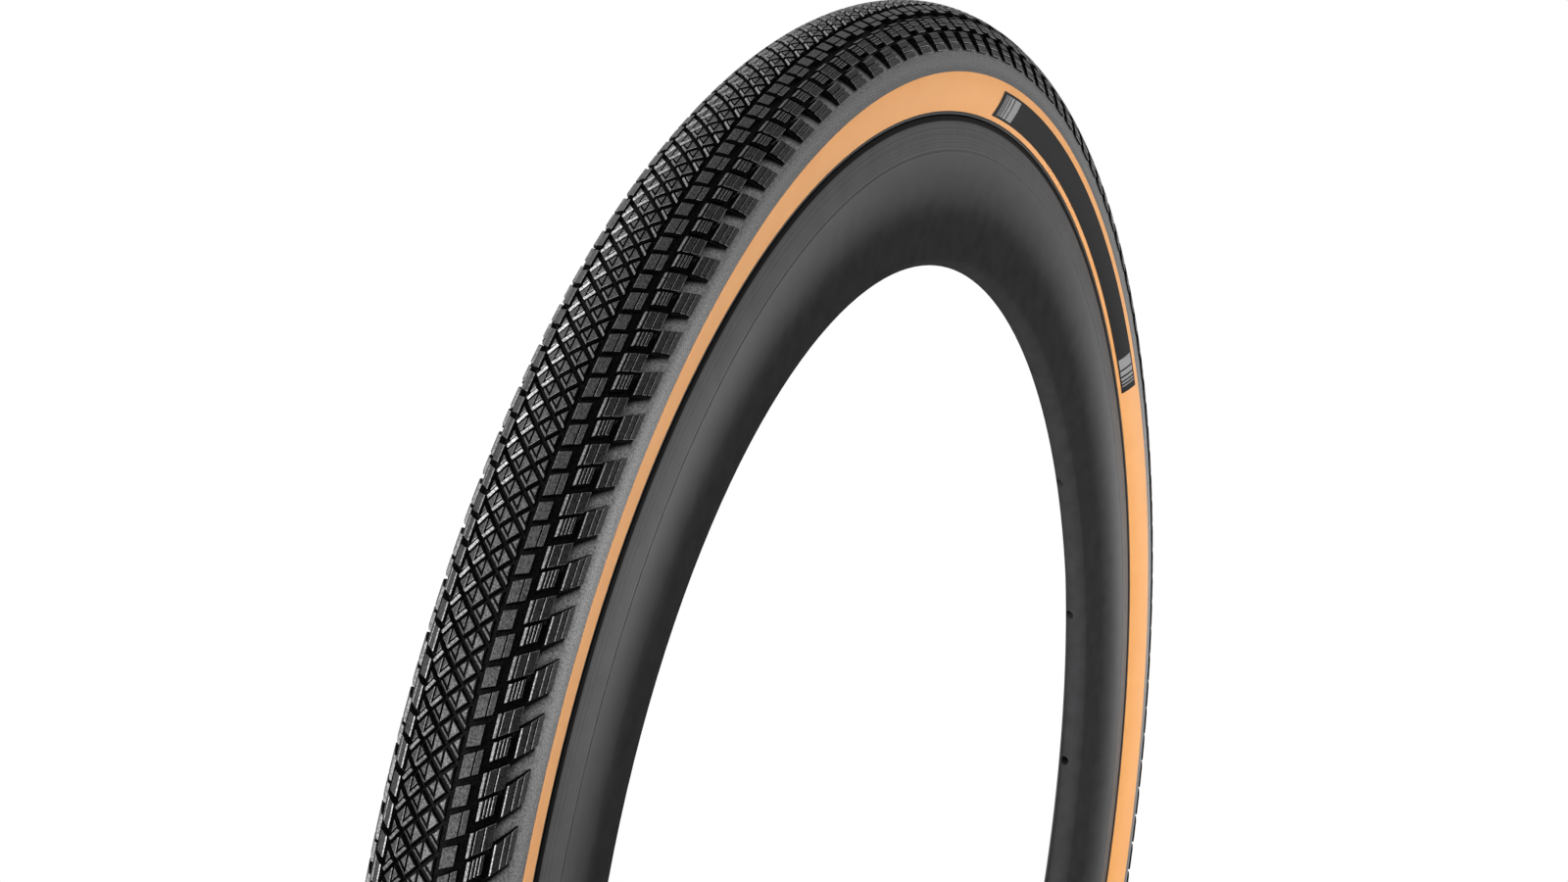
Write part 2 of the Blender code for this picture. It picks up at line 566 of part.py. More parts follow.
def main():
    for obj in list(bpy.data.objects):
        bpy.data.objects.remove(obj, do_unlink=True)
    make_tread(material("tread_rubber", (0.012, 0.012, 0.013), 0.75))
    make_belt(material("breaker_nylon", (0.30, 0.28, 0.22), 0.85))
    make_casing(material("casing_cord", (0.10, 0.09, 0.08), 0.80))
    for side, word in ((-1, "left"), (1, "right")):
        make_sidewall("sidewall_" + word, side, material("tan_skin_" + word, (0.73, 0.37, 0.14), 0.70))
        make_chafer("chafer_" + word, side, material("chafer_rubber_" + word, (0.02, 0.02, 0.02), 0.70))
        make_bead_core("bead_core_" + word, side, material("aramid_" + word, (0.60, 0.42, 0.10), 0.60))
    make_rim(material("carbon_laminate", (0.015, 0.015, 0.016), 0.40))
    make_tape(material("sealing_tape", (0.10, 0.22, 0.45), 0.50))
    brass = (0.62, 0.47, 0.22)
    rubber = (0.02, 0.02, 0.02)
    make_stem(material("black_stem", (0.03, 0.03, 0.03), 0.35, 1.0))
    make_tube("valve_grommet", VALVE_HOLE, GROMMET_DIAMETER, GROMMET_FOOT,
              GROMMET_FOOT + GROMMET_HEIGHT, material("grommet_rubber", rubber, 0.80), GROMMET_TOP_DIAMETER)
    make_core(material("core_brass", brass, 0.30, 1.0))
    o_ring = make_o_ring(material("o_ring_rubber", rubber, 0.60))
    lock_nut = make_lock_nut(material("black_nut", (0.03, 0.03, 0.03), 0.35, 1.0))
    core_nut = make_tube("valve_core_nut", PIN_BORE, CORE_NUT_DIAMETER, CORE_NUT_END, CORE_NUT_FOOT,
                         material("nut_brass", brass, 0.30, 1.0))
    pin = make_pin(material("pin_brass", brass, 0.30, 1.0))
    seal = make_tube("valve_pin_seal", PIN_BORE, SEAL_DIAMETER, SEAL_START, SEAL_START + SEAL_THICKNESS,
                     material("seal_rubber", rubber, 0.80))
    cap = make_cap(material("cap_plastic", (0.02, 0.02, 0.02), 0.45))
    hang_on_axis((o_ring, lock_nut, core_nut, pin, seal, cap))


main()
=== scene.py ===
"""Tubeless gravel tyre with tan sidewalls on a bare deep rim: the looks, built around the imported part.

Metres, +Z up. The origin is the wheel's centre, the axle runs along Y and the shown side faces -Y.
"""

import math

import bmesh
import bpy
from mathutils import Matrix, Vector


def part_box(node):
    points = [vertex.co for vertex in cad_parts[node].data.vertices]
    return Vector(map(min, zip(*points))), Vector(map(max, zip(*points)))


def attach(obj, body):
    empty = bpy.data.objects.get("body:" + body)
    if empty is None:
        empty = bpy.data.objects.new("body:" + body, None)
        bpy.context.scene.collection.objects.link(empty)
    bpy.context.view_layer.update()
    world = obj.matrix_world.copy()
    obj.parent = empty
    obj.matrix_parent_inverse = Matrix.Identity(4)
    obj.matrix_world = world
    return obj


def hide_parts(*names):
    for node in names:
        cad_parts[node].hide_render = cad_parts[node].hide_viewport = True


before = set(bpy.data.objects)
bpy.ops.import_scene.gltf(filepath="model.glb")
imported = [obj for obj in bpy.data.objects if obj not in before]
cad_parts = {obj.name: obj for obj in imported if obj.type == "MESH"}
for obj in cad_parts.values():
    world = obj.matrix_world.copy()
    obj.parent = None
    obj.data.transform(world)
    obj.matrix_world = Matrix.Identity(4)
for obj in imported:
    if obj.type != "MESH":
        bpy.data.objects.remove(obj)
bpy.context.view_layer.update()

MM = 0.001
SHOWN, HIDDEN = -1, 1
AXLE = (0, 1, 0)
VALVE_AXIS = (0, 0, 1)
UP = Vector((0, 0, 1))

# Meshes: the angle that shows as an edge, and how near to each other points are merged
SHARP_ANGLE = math.radians(35)
MERGE = 1e-7
PITCH_MERGE = 2e-6

# Tyre section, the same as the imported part's
OUTER_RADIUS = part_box("tread")[1].x
HALF_WIDTH = 20.9 * MM
WIDEST_RADIUS = OUTER_RADIUS - HALF_WIDTH
TREAD_EDGE_RADIUS = 332.1 * MM
SKIN_LOW_RADIUS = 317.0 * MM
SKIN_LOW_Y = 14.9 * MM
LOW_DROP = WIDEST_RADIUS - SKIN_LOW_RADIUS
LOW_TUCK = HALF_WIDTH - SKIN_LOW_Y
FLANK_ARC = (LOW_DROP ** 2 + LOW_TUCK ** 2) / (2 * LOW_TUCK)
TREAD_EDGE_ANGLE = 90 + math.degrees(math.asin((WIDEST_RADIUS - TREAD_EDGE_RADIUS) / FLANK_ARC))
SKIN_LOW_ANGLE = 90 + math.degrees(math.asin(LOW_DROP / FLANK_ARC))
SKIN = 1.8 * MM
RING_STEPS = 280
SECTION_STEP = 2.0
INNER_WALL_STEP = 6 * SECTION_STEP

# Tread layout: angles in degrees across the section from the crown, and round the wheel
PITCH_COUNT = 140
PITCH = 360 / PITCH_COUNT
PITCH_STEPS = 6
PITCH_PHASE = 135.31
FLOOR_DEPTHS = ((0, 1.6), (22, 1.7), (40, 2.0), (62, 2.0), (73, 1.5), (83, 0.85), (90, 0.55), (96, 0.2),
                (TREAD_EDGE_ANGLE, 0.06))
CROWN_EXTRA = 1.4 * MM

# Knobs: how far a foot sinks in, the ledge it ends in, the eased edges, and how much the normals of tops and of
# eased edges point up
SINK = 0.25 * MM
LEDGE_DEPTH = 0.7 * MM
EDGE_ROUND = 0.13 * MM
TOP_UPNESS = 0.95
EDGE_UPNESS = 0.3

# Gloss and base colour of the tops, eased edges and bands; the eased edges and strips are painted highlights
EDGE_PAINTED_HIGHLIGHT = 3.0
STRIP_PAINTED_HIGHLIGHT = 3.6
# The tops' values differ by row: one rubber made lighter or darker in painted light and shade
DIAMOND_SHINE = 1.0
ROW_SHINE = 0.8
SHOULDER_SHINE = 0.35
BAND_SHINE = 2.15
GAP_SHINE = 1.5

# Diamonds: their cell, the shares of it that the foot and the top fill, the walls' slopes, and the edge strip
# whose ramp carries a painted highlight
CELL_ACROSS = 21.0
CELL_ROUND = PITCH / 2
DIAMOND_PHASE = -0.16
FIELD_EDGE = 21.6
DIAMOND_FOOT = 0.87
DIAMOND_TOP = 0.73
DIAMOND_FOOT_SLOPE = 0.18 * MM
DIAMOND_SLOPE = 0.05 * MM
DIAMOND_SLIT = 0.55 * MM
STRIP_WIDTH = 0.7 * MM
STRIP_RAMP = 0.8

# Blocks: the walls' slopes, how far the foot stands out, and the sipes
BLOCK_FOOT_GROWTH = 0.25 * MM
BLOCK_FOOT_SLOPE = 0.14 * MM
BLOCK_SLOPE = 0.06 * MM
SIPE = 0.34 * MM
SHORT_RAMP = 0.3 * MM
LONG_RAMP = 0.6 * MM

# One pitch of blocks: the outer and the inner end as (across, start along, end along), the sipes as shares of the
# length, the ramp at the inboard end, the shine, and how far the foot's dark ledge, a painted shadow, stands out
# along, in degrees
TRANSITION_BLOCKS = (
    ((38.5, -0.305, 0.745), (25.5, 0.095, 1.145), (0.62,), SHORT_RAMP, ROW_SHINE, 0.0),
    ((35.0, 1.22, 2.12), (25.0, 1.46, 2.36), (), SHORT_RAMP, ROW_SHINE, 0.0),
    ((60.5, 0.02, 1.10), (42.6, 0.67, 1.75), (0.18, 0.55), LONG_RAMP, SHOULDER_SHINE, 0.08),
    ((56.3, 1.43, 2.28), (44.5, 1.88, 2.73), (0.27, 0.5, 0.72), LONG_RAMP, SHOULDER_SHINE, 0.08),
)
SHOULDER_OUTER, SHOULDER_INNER = 82.5, 63.0
SHOULDER_LEAN = 0.98
SHOULDER_BLOCKS = (
    ((SHOULDER_OUTER, 0.0, 1.53), (SHOULDER_INNER, SHOULDER_LEAN, 2.33), (0.35, 0.65), SHORT_RAMP, SHOULDER_SHINE,
     0.13),
)

# The floor between the shoulder blocks and the band below them: where the painted shade on the deep floor fades
# to light, where the band starts, where painted shade darkens the band towards the tan skin and by how much, and
# which steps of a pitch are clear of the painted shadow of the shoulder block
FLOOR_SHADE_FADE = (58.0, 72.0)
BAND_START = 84.0
BAND_EDGE_SHADE = (94.0, 102.0)
BAND_EDGE_SHADE_AMOUNT = 0.4
STEPS_CLEAR_OF_SHADOW = (0, 5)

# Bead strip: its gap to the rim, its toe, foot and wall, its lap and inset under the tan skin, and its lip's rounding
# as (y, radius) from the flange's corner
BEAD_GAP = 0.3 * MM
BEAD_TOE = 5.0 * MM
BEAD_FOOT = 0.6 * MM
BEAD_WALL = 0.9 * MM
BEAD_LAP = 0.2
BEAD_INSET = 0.12 * MM
BEAD_LIP = ((0.1 * MM, 0.5 * MM), (-0.1 * MM, 0.1 * MM), (-0.5 * MM, 0.0))

# Rim
RIM_STEPS = 180
BEAD_SEAT_RADIUS = 311.0 * MM
SEAT_INNER_Y = 8.2 * MM
WELL_RADIUS = 307.5 * MM
WELL_HALF_WIDTH = 5.5 * MM
FLANGE_RADIUS = 315.4 * MM
FLANGE_INNER_Y = 12.2 * MM
FLANGE_ROUND = 0.6 * MM
FLANGE_STEP = 30
TRACK_Y = 14.6 * MM
TRACK_END_Y = 15.3 * MM
TRACK_START_RADIUS = 312.9 * MM
TRACK_END_RADIUS = 301.5 * MM
TRACK_STEP = 0.2 * MM
FLANK_BULGE = 0.5 * MM
FLANK_STRAIGHT = 0.85
FLANK_STEPS = 24
NOSE_RADIUS = 6.0 * MM
NOSE_OFFSET = 3.0 * MM
NOSE_INNER_RADIUS = 256.0 * MM
NOSE_ANGLE = 60.0
NOSE_STEP = 7

# Holes in the rim and the valve's pad; the drill is turned so that none of its edges meets an edge of the rim
SPOKE_COUNT = 20
SPOKE_HOLE = 4.6 * MM
SPOKE_HOLE_DEPTH = 14.0 * MM
VALVE_ANGLE = -90.0
VALVE_HOLE = 6.6 * MM
VALVE_PAD_RADIUS = 5.6 * MM
VALVE_PAD_FLARE = 1.4 * MM
VALVE_PAD_DEPTH = 12.0 * MM
VALVE_PAD_SIDES = 32
DRILL_TURN = Matrix.Rotation(math.radians(4), 4, "Z")
DRILL_SIDES = 20
DRILL_CLEARANCE = 4 * MM

# The rim's satin lacquer: where its gloss starts, how high it grows and how steeply
SATIN_LOW_RADIUS = 272.0 * MM
SATIN_GLOSS = 0.115
SATIN_FALL = 2.5

# The label's place on the shown side: its ends round the wheel, its edges as shares of the tan skin, and its bars
LABEL_START = 28.6
LABEL_END = 77.0
LABEL_SLANT = -0.5
LABEL_LOW, LABEL_HIGH = 0.88, 0.19
LABEL_LIFT = 0.06 * MM
LABEL_THICKNESS = 0.08 * MM
LABEL_STEP = 0.7
LABEL_ROWS = 8
BAR_START = 0.7
BAR_WIDTHS = (0.12, 0.16, 0.3, 0.55, 1.2)
BAR_GAP = 0.22
BAR_MARGIN = 0.06

# Valve: places along its axis are distances from the wheel's centre
VALVE_STEPS = 48
PIN_STEPS = 24
THREAD_PITCH = 0.8 * MM
THREAD_DEPTH = 0.22 * MM
THREAD_CREST = (0.35, 0.65)
FLUTED_SHARE = 0.9
STEM_END = 231.5 * MM
STEM_RADIUS = 3.0 * MM
STEM_BORE = 2.1 * MM
STEM_BORE_END = 250 * MM
STEM_AIR_BORE = 1.3 * MM
STEM_THREAD = (0.2 * MM, 20 * MM)
STEM_PLAIN = 21 * MM
TIP_START = 239.0 * MM
TIP_RADIUS = 2.6 * MM
HEAD_FOOT = 312.8 * MM
HEAD_RADIUS = 4.2 * MM
HEAD_HEIGHT = 1.2 * MM
O_RING_PLACE = 254.3 * MM
O_RING_HALF = 0.9 * MM
O_RING_STEP = 24
NUT_LOW, NUT_HIGH = 248.1 * MM, 253.1 * MM
NUT_RADIUS = 5.5 * MM
CORE_HEAD_END = 226.2 * MM
CORE_HEAD_RADIUS = 2.5 * MM
CORE_HEAD_TOP = 2.2 * MM
CORE_HEAD_EASE = 0.3 * MM
CORE_FLAT = 2.1 * MM
CORE_SEAT = 231.2 * MM
CORE_SLEEVE = 1.8 * MM
CORE_BORE = 1.1 * MM
CORE_END = 242.9 * MM
CORE_NUT_LOW, CORE_NUT_HIGH = 221.4 * MM, 225.9 * MM
CORE_NUT_RADIUS = 2.2 * MM
PIN_END = 214.0 * MM
PIN_TIP_TOP = 1.1 * MM
PIN_TIP_RADIUS = 1.3 * MM
PIN_TIP_EASE = 0.3 * MM
PIN_TIP_LENGTH = 2.2 * MM
PIN_THREAD_START = 2.5 * MM
PIN_RADIUS = 0.8 * MM
PIN_FOOT = 245.0 * MM
PIN_FOOT_RADIUS = 1.5 * MM
PIN_FOOT_HEIGHT = 0.7 * MM
CAP_CLOSED_END = 211.4 * MM
CAP_INSIDE_END = 213.4 * MM
CAP_OPEN_END = 238.7 * MM
CAP_BORE = 2.9 * MM
CAP_RADIUS = 3.9 * MM
CAP_TAPERED = 3.3 * MM
CAP_SHOULDER = 2.8 * MM
CAP_TOP = 2.2 * MM
CAP_EASE = 0.6 * MM

# Camera, from the circles of the photograph
CAMERA_PLACE = Vector((-0.7418, -0.3030, 0.3841))
CAMERA_AZIMUTH = 25.07
CAMERA_ELEVATION = -13.72
CAMERA_LENS = 48.12

# Studio: the white all round as a light, where the floor's paper runs out into white, and the lamps as name, place,
# size and watts
WORLD_LEVEL = 0.18
FLOOR_SHADE = 0.35
FLOOR_WHITE = 0.70
FLOOR_RADIUS = 30
FLOOR_SIDES = 96
SOFT_BOXES = (
    ("left_box", (-1.9, 0.0, 0.8), (1.5, 1.8), 112),
    ("back_box", (-0.75, 1.35, 2.2), (2.0, 1.2), 24),
    ("low_box", (0.9, -0.8, -0.2), (0.9, 0.3), 6.6),
)


def linear(code):
    """An sRGB hex colour as linear RGBA."""
    channels = [int(code[place:place + 2], 16) / 255 for place in (1, 3, 5)]
    return (*[c / 12.92 if c <= 0.04045 else ((c + 0.055) / 1.055) ** 2.4 for c in channels], 1.0)


def add(tree, kind, inputs=None, **settings):
    """Add a node with its settings, its inputs being values or other nodes' outputs."""
    made = tree.nodes.new(kind)
    for name, value in settings.items():
        setattr(made, name, value)
    for socket, value in (inputs or {}).items():
        if isinstance(value, bpy.types.NodeSocket):
            tree.links.new(value, made.inputs[socket])
        else:
            made.inputs[socket].default_value = value
    return made


def blank(name):
    """An empty material with its Principled shader already on the output."""
    finish = bpy.data.materials.new(name)
    finish.use_nodes = True
    tree = finish.node_tree
    tree.nodes.clear()
    shader = add(tree, "ShaderNodeBsdfPrincipled")
    add(tree, "ShaderNodeOutputMaterial", {"Surface": shader.outputs["BSDF"]})
    return finish, tree, shader


def wheel_radius(tree):
    """The distance from the axle, for patterns that run round the wheel."""
    place = add(tree, "ShaderNodeTexCoord")
    split = add(tree, "ShaderNodeSeparateXYZ", {"Vector": place.outputs["Object"]})
    in_plane = add(tree, "ShaderNodeCombineXYZ", {"X": split.outputs["X"], "Y": split.outputs["Z"]})
    return add(tree, "ShaderNodeVectorMath", {0: in_plane.outputs[0]}, operation="LENGTH").outputs["Value"]


def moulded_tread_rubber():
    """Black rubber pressed in a mould.

    Blasted tops and bands are lighter and glossier; the eased edges and strips are lighter still, a painted
    highlight, and the cut walls, feet and floors are painted dark as shade.
    """
    finish, tree, shader = blank("moulded_tread_rubber")
    grain_size = 0.6 * MM  # finer on the real rubber: drawn as coarse as it needs to show
    place = add(tree, "ShaderNodeTexCoord")
    skin = add(tree, "ShaderNodeAttribute", attribute_name="skin")
    grain = add(tree, "ShaderNodeTexNoise", {"Vector": place.outputs["Object"], "Scale": 1 / grain_size,
                                             "Detail": 3.0})
    level = add(tree, "ShaderNodeMapRange", {"Value": grain.outputs["Fac"], "From Min": 0.35, "From Max": 0.65,
                                             "To Min": 0.5, "To Max": 1.5})
    lit = add(tree, "ShaderNodeMath", {0: skin.outputs["Fac"], 1: 0.5}, operation="MULTIPLY")
    # Base colour by the skin value: near black is painted shade in the grooves, the lightest a painted highlight
    tone = add(tree, "ShaderNodeMix", {"Factor": lit.outputs[0], "A": linear("#030303"), "B": linear("#1e1e1e")},
               data_type="RGBA")
    colour = add(tree, "ShaderNodeVectorMath", {0: tone.outputs["Result"], "Scale": level.outputs[0]},
                 operation="SCALE")
    tree.links.new(colour.outputs[0], shader.inputs["Base Color"])
    gloss = add(tree, "ShaderNodeMapRange", {"Value": skin.outputs["Fac"], "From Max": 2.0, "To Min": 0.02,
                                             "To Max": 0.72}, clamp=False)
    speck = add(tree, "ShaderNodeMath", {0: gloss.outputs[0], 1: level.outputs[0]}, operation="MULTIPLY")
    tree.links.new(speck.outputs[0], shader.inputs["Specular IOR Level"])
    bump = add(tree, "ShaderNodeBump", {"Height": grain.outputs["Fac"], "Strength": 0.3, "Distance": 0.1 * MM})
    tree.links.new(bump.outputs["Normal"], shader.inputs["Normal"])
    shader.inputs["Roughness"].default_value = 0.5
    return finish


def tan_sidewall_rubber():
    """Thin calendered tan rubber: even and satin, with faint cloudy changes of tone from the mix."""
    finish, tree, shader = blank("tan_sidewall_rubber")
    cloud_size = 18 * MM
    grain_size = 0.5 * MM  # finer on the real rubber: drawn as coarse as it needs to show
    place = add(tree, "ShaderNodeTexCoord")
    cloud = add(tree, "ShaderNodeTexNoise", {"Vector": place.outputs["Object"], "Scale": 1 / cloud_size,
                                             "Detail": 3.0})
    grain = add(tree, "ShaderNodeTexNoise", {"Vector": place.outputs["Object"], "Scale": 1 / grain_size,
                                             "Detail": 2.0})
    tone = add(tree, "ShaderNodeMix", {"Factor": cloud.outputs["Fac"], "A": linear("#d8934f"),
                                       "B": linear("#de9f5c")}, data_type="RGBA")
    tree.links.new(tone.outputs["Result"], shader.inputs["Base Color"])
    bump = add(tree, "ShaderNodeBump", {"Height": grain.outputs["Fac"], "Strength": 0.05, "Distance": 0.08 * MM})
    tree.links.new(bump.outputs["Normal"], shader.inputs["Normal"])
    shader.inputs["Roughness"].default_value = 0.58
    shader.inputs["Specular IOR Level"].default_value = 0.2
    return finish


def plain_rubber(name, code, roughness, grain_size):
    """Plain black rubber off a smooth mould, with a fine even grain."""
    finish, tree, shader = blank(name)
    place = add(tree, "ShaderNodeTexCoord")
    grain = add(tree, "ShaderNodeTexNoise", {"Vector": place.outputs["Object"], "Scale": 1 / grain_size,
                                             "Detail": 2.0})
    bump = add(tree, "ShaderNodeBump", {"Height": grain.outputs["Fac"], "Strength": 0.2, "Distance": 0.05 * MM})
    tree.links.new(bump.outputs["Normal"], shader.inputs["Normal"])
    shader.inputs["Base Color"].default_value = linear(code)
    shader.inputs["Roughness"].default_value = roughness
    shader.inputs["Specular IOR Level"].default_value = 0.12
    return finish


def satin_carbon():
    """Lacquered carbon laminate, faintly mottled.

    The brake tracks are finely turned, the flange's edge over them is painted dark as shade, and the side below
    grows duller towards the nose.
    """
    finish, tree, shader = blank("satin_carbon")
    line_width = 0.6 * MM  # the turned lines are finer: drawn as coarse as they need to show
    mottle_size = 9 * MM
    flange_shade_fade = 0.5 * MM
    radius = wheel_radius(tree)
    lines = add(tree, "ShaderNodeTexNoise", {"W": radius, "Scale": 1 / line_width, "Detail": 3.0},
                noise_dimensions="1D")
    # Painted shade: past the brake track's start the flange's edge is darkened and loses its gloss
    flange_shade = add(tree, "ShaderNodeMapRange", {"Value": radius, "From Min": TRACK_START_RADIUS,
                                             "From Max": TRACK_START_RADIUS + flange_shade_fade,
                                             "To Min": 1.0, "To Max": 0.12})
    below = add(tree, "ShaderNodeMath", {0: radius, 1: TRACK_END_RADIUS}, operation="GREATER_THAN")
    track = add(tree, "ShaderNodeMath", {0: flange_shade.outputs[0], 1: below.outputs[0]}, operation="MULTIPLY")
    streak = add(tree, "ShaderNodeMapRange", {"Value": lines.outputs["Fac"], "From Min": 0.3, "From Max": 0.7})
    height = add(tree, "ShaderNodeMath", {0: streak.outputs[0], 1: track.outputs[0]}, operation="MULTIPLY")
    bump = add(tree, "ShaderNodeBump", {"Height": height.outputs[0], "Strength": 0.4, "Distance": 0.05 * MM})
    tree.links.new(bump.outputs["Normal"], shader.inputs["Normal"])
    tone = add(tree, "ShaderNodeMix", {"Factor": height.outputs[0], "A": linear("#2d2d2e"), "B": linear("#444445")},
               data_type="RGBA")
    place = add(tree, "ShaderNodeTexCoord")
    cloud = add(tree, "ShaderNodeTexNoise", {"Vector": place.outputs["Object"], "Scale": 1 / mottle_size,
                                             "Detail": 5.0})
    mottle = add(tree, "ShaderNodeMapRange", {"Value": cloud.outputs["Fac"], "From Min": 0.3, "From Max": 0.7,
                                              "To Min": 0.88, "To Max": 1.12})
    shade = add(tree, "ShaderNodeMath", {0: mottle.outputs[0], 1: flange_shade.outputs[0]}, operation="MULTIPLY")
    colour = add(tree, "ShaderNodeVectorMath", {0: tone.outputs["Result"], "Scale": shade.outputs[0]},
                 operation="SCALE")
    tree.links.new(colour.outputs[0], shader.inputs["Base Color"])
    satin = add(tree, "ShaderNodeMapRange", {"Value": radius, "From Min": SATIN_LOW_RADIUS,
                                             "From Max": TRACK_END_RADIUS,
                                             "To Max": SATIN_GLOSS ** (1 / SATIN_FALL)})
    lacquer = add(tree, "ShaderNodeMath", {0: satin.outputs[0], 1: SATIN_FALL}, operation="POWER")
    gloss = add(tree, "ShaderNodeMath", {0: lacquer.outputs[0], 1: flange_shade.outputs[0]}, operation="MULTIPLY")
    tree.links.new(gloss.outputs[0], shader.inputs["Specular IOR Level"])
    shader.inputs["Roughness"].default_value = 0.5
    return finish


def printed_ink(name, code):
    """Matt ink pressed on to the rubber, a little uneven where it soaked in."""
    finish, tree, shader = blank(name)
    soak_size = 2 * MM
    place = add(tree, "ShaderNodeTexCoord")
    soak = add(tree, "ShaderNodeTexNoise", {"Vector": place.outputs["Object"], "Scale": 1 / soak_size,
                                            "Detail": 3.0})
    spread = add(tree, "ShaderNodeMapRange", {"Value": soak.outputs["Fac"], "To Min": 0.85, "To Max": 1.15})
    colour = add(tree, "ShaderNodeVectorMath", {0: linear(code)[:3], "Scale": spread.outputs[0]}, operation="SCALE")
    tree.links.new(colour.outputs[0], shader.inputs["Base Color"])
    shader.inputs["Roughness"].default_value = 0.65
    shader.inputs["Specular IOR Level"].default_value = 0.05
    return finish


def cord_cloth(name, dark, light, thread):
    """Rubbered cord cloth: rows of threads, lighter on their crowns, with painted shade between them.

    The rows are drawn several times as coarse as the threads, as they need to show.
    """
    finish, tree, shader = blank(name)
    wave_rate = 20
    place = add(tree, "ShaderNodeTexCoord")
    rows = add(tree, "ShaderNodeTexWave", {"Vector": place.outputs["Object"], "Scale": 1 / (wave_rate * thread)},
               bands_direction="DIAGONAL")
    # Painted shade: the colour darkens with the bump's grooves between the threads
    tone = add(tree, "ShaderNodeMix", {"Factor": rows.outputs["Fac"], "A": linear(dark), "B": linear(light)},
               data_type="RGBA")
    tree.links.new(tone.outputs["Result"], shader.inputs["Base Color"])
    bump = add(tree, "ShaderNodeBump", {"Height": rows.outputs["Fac"], "Strength": 0.4, "Distance": 0.1 * MM})
    tree.links.new(bump.outputs["Normal"], shader.inputs["Normal"])
    shader.inputs["Roughness"].default_value = 0.8
    return finish


def turned_metal(name, code, roughness, anodised):
    """Metal turned on a lathe: fine tool marks round the valve; anodising leaves a dark satin film."""
    finish, tree, shader = blank(name)
    mark_width = 0.12 * MM
    place = add(tree, "ShaderNodeTexCoord")
    split = add(tree, "ShaderNodeSeparateXYZ", {"Vector": place.outputs["Object"]})
    marks = add(tree, "ShaderNodeTexNoise", {"W": split.outputs["Z"], "Scale": 1 / mark_width, "Detail": 2.0},
                noise_dimensions="1D")
    bump = add(tree, "ShaderNodeBump", {"Height": marks.outputs["Fac"], "Strength": 0.15, "Distance": 0.03 * MM})
    tree.links.new(bump.outputs["Normal"], shader.inputs["Normal"])
    shine = add(tree, "ShaderNodeMapRange", {"Value": marks.outputs["Fac"], "To Min": roughness - 0.06,
                                             "To Max": roughness + 0.08})
    tree.links.new(shine.outputs[0], shader.inputs["Roughness"])
    shader.inputs["Base Color"].default_value = linear(code)
    shader.inputs["Metallic"].default_value = 0.6 if anodised else 1.0
    return finish


def moulded_plastic(name, code, roughness):
    """Moulded plastic with a light spark texture."""
    finish, tree, shader = blank(name)
    spark_size = 0.25 * MM
    place = add(tree, "ShaderNodeTexCoord")
    spark = add(tree, "ShaderNodeTexVoronoi", {"Vector": place.outputs["Object"], "Scale": 1 / spark_size})
    bump = add(tree, "ShaderNodeBump", {"Height": spark.outputs["Distance"], "Strength": 0.2, "Distance": 0.04 * MM})
    tree.links.new(bump.outputs["Normal"], shader.inputs["Normal"])
    shader.inputs["Base Color"].default_value = linear(code)
    shader.inputs["Roughness"].default_value = roughness
    return finish


def section(angle, inset=0.0):
    """A point (y, radius) of the tyre's section, 0 degrees at the crown and 90 at the widest place."""
    if angle <= 90:
        turn = math.radians(angle)
        reach = HALF_WIDTH - inset
        return reach * math.sin(turn), WIDEST_RADIUS + reach * math.cos(turn)
    turn = math.radians(angle - 90)
    arc = FLANK_ARC - inset
    return HALF_WIDTH - FLANK_ARC + arc * math.cos(turn), WIDEST_RADIUS - arc * math.sin(turn)


def on_wheel(y, radius, degrees):
    """A point at an angle round the wheel, 0 at +X and 90 at the top."""
    turn = math.radians(degrees)
    return Vector((radius * math.cos(turn), y, radius * math.sin(turn)))


def mirrored(half):
    """A closed outline from its +Y half, given from the middle round to the middle."""
    return half + [(-y, radius) for y, radius in reversed(half) if y > 0]


def angles_between(start, end, step):
    """Evenly spaced angles from start to end, both included."""
    count = max(1, round(abs(end - start) / step))
    return [start + (end - start) * number / count for number in range(count + 1)]


def share_between(value, low, high):
    """How far a value lies from low to high, kept from 0 to 1."""
    return min(1.0, max(0.0, (value - low) / (high - low)))


def everything(bm):
    """All the points, edges and faces of a bmesh."""
    return bm.verts[:] + bm.edges[:] + bm.faces[:]


def spin_outline(points, axis, steps, closed=True, angle=2 * math.pi):
    """Turn an outline about an axis through the origin, a full round if no angle is given."""
    bm = bmesh.new()
    verts = [bm.verts.new(point) for point in points]
    pairs = list(zip(verts, verts[1:]))
    if closed:
        pairs.append((verts[-1], verts[0]))
    edges = [bm.edges.new(pair) for pair in pairs]
    bmesh.ops.spin(bm, geom=verts + edges, cent=(0, 0, 0), axis=axis, dvec=(0, 0, 0), angle=angle, steps=steps,
                   use_merge=angle == 2 * math.pi, use_duplicate=False)
    return bm


def ring_points(outline):
    """An outline of (y, radius) points, stood up on +X."""
    return [Vector((radius, y, 0)) for y, radius in outline]


def ring(outline, steps=RING_STEPS):
    """A ring about the axle from a closed outline of (y, radius) points."""
    return spin_outline(ring_points(outline), AXLE, steps)


def turned(outline, steps=VALVE_STEPS, closed=True):
    """A turned valve piece from an outline of (radius, distance from the wheel's centre)."""
    return spin_outline([Vector((radius, 0, -reach)) for radius, reach in outline], VALVE_AXIS, steps, closed)


def mesh_of(name, bm):
    """A mesh made of a bmesh, which is freed."""
    mesh = bpy.data.meshes.new(name)
    bm.to_mesh(mesh)
    bm.free()
    return mesh


def put(name, data):
    """A new object in the scene, made of a mesh, a lamp or a camera."""
    made = bpy.data.objects.new(name, data)
    bpy.context.scene.collection.objects.link(made)
    return made


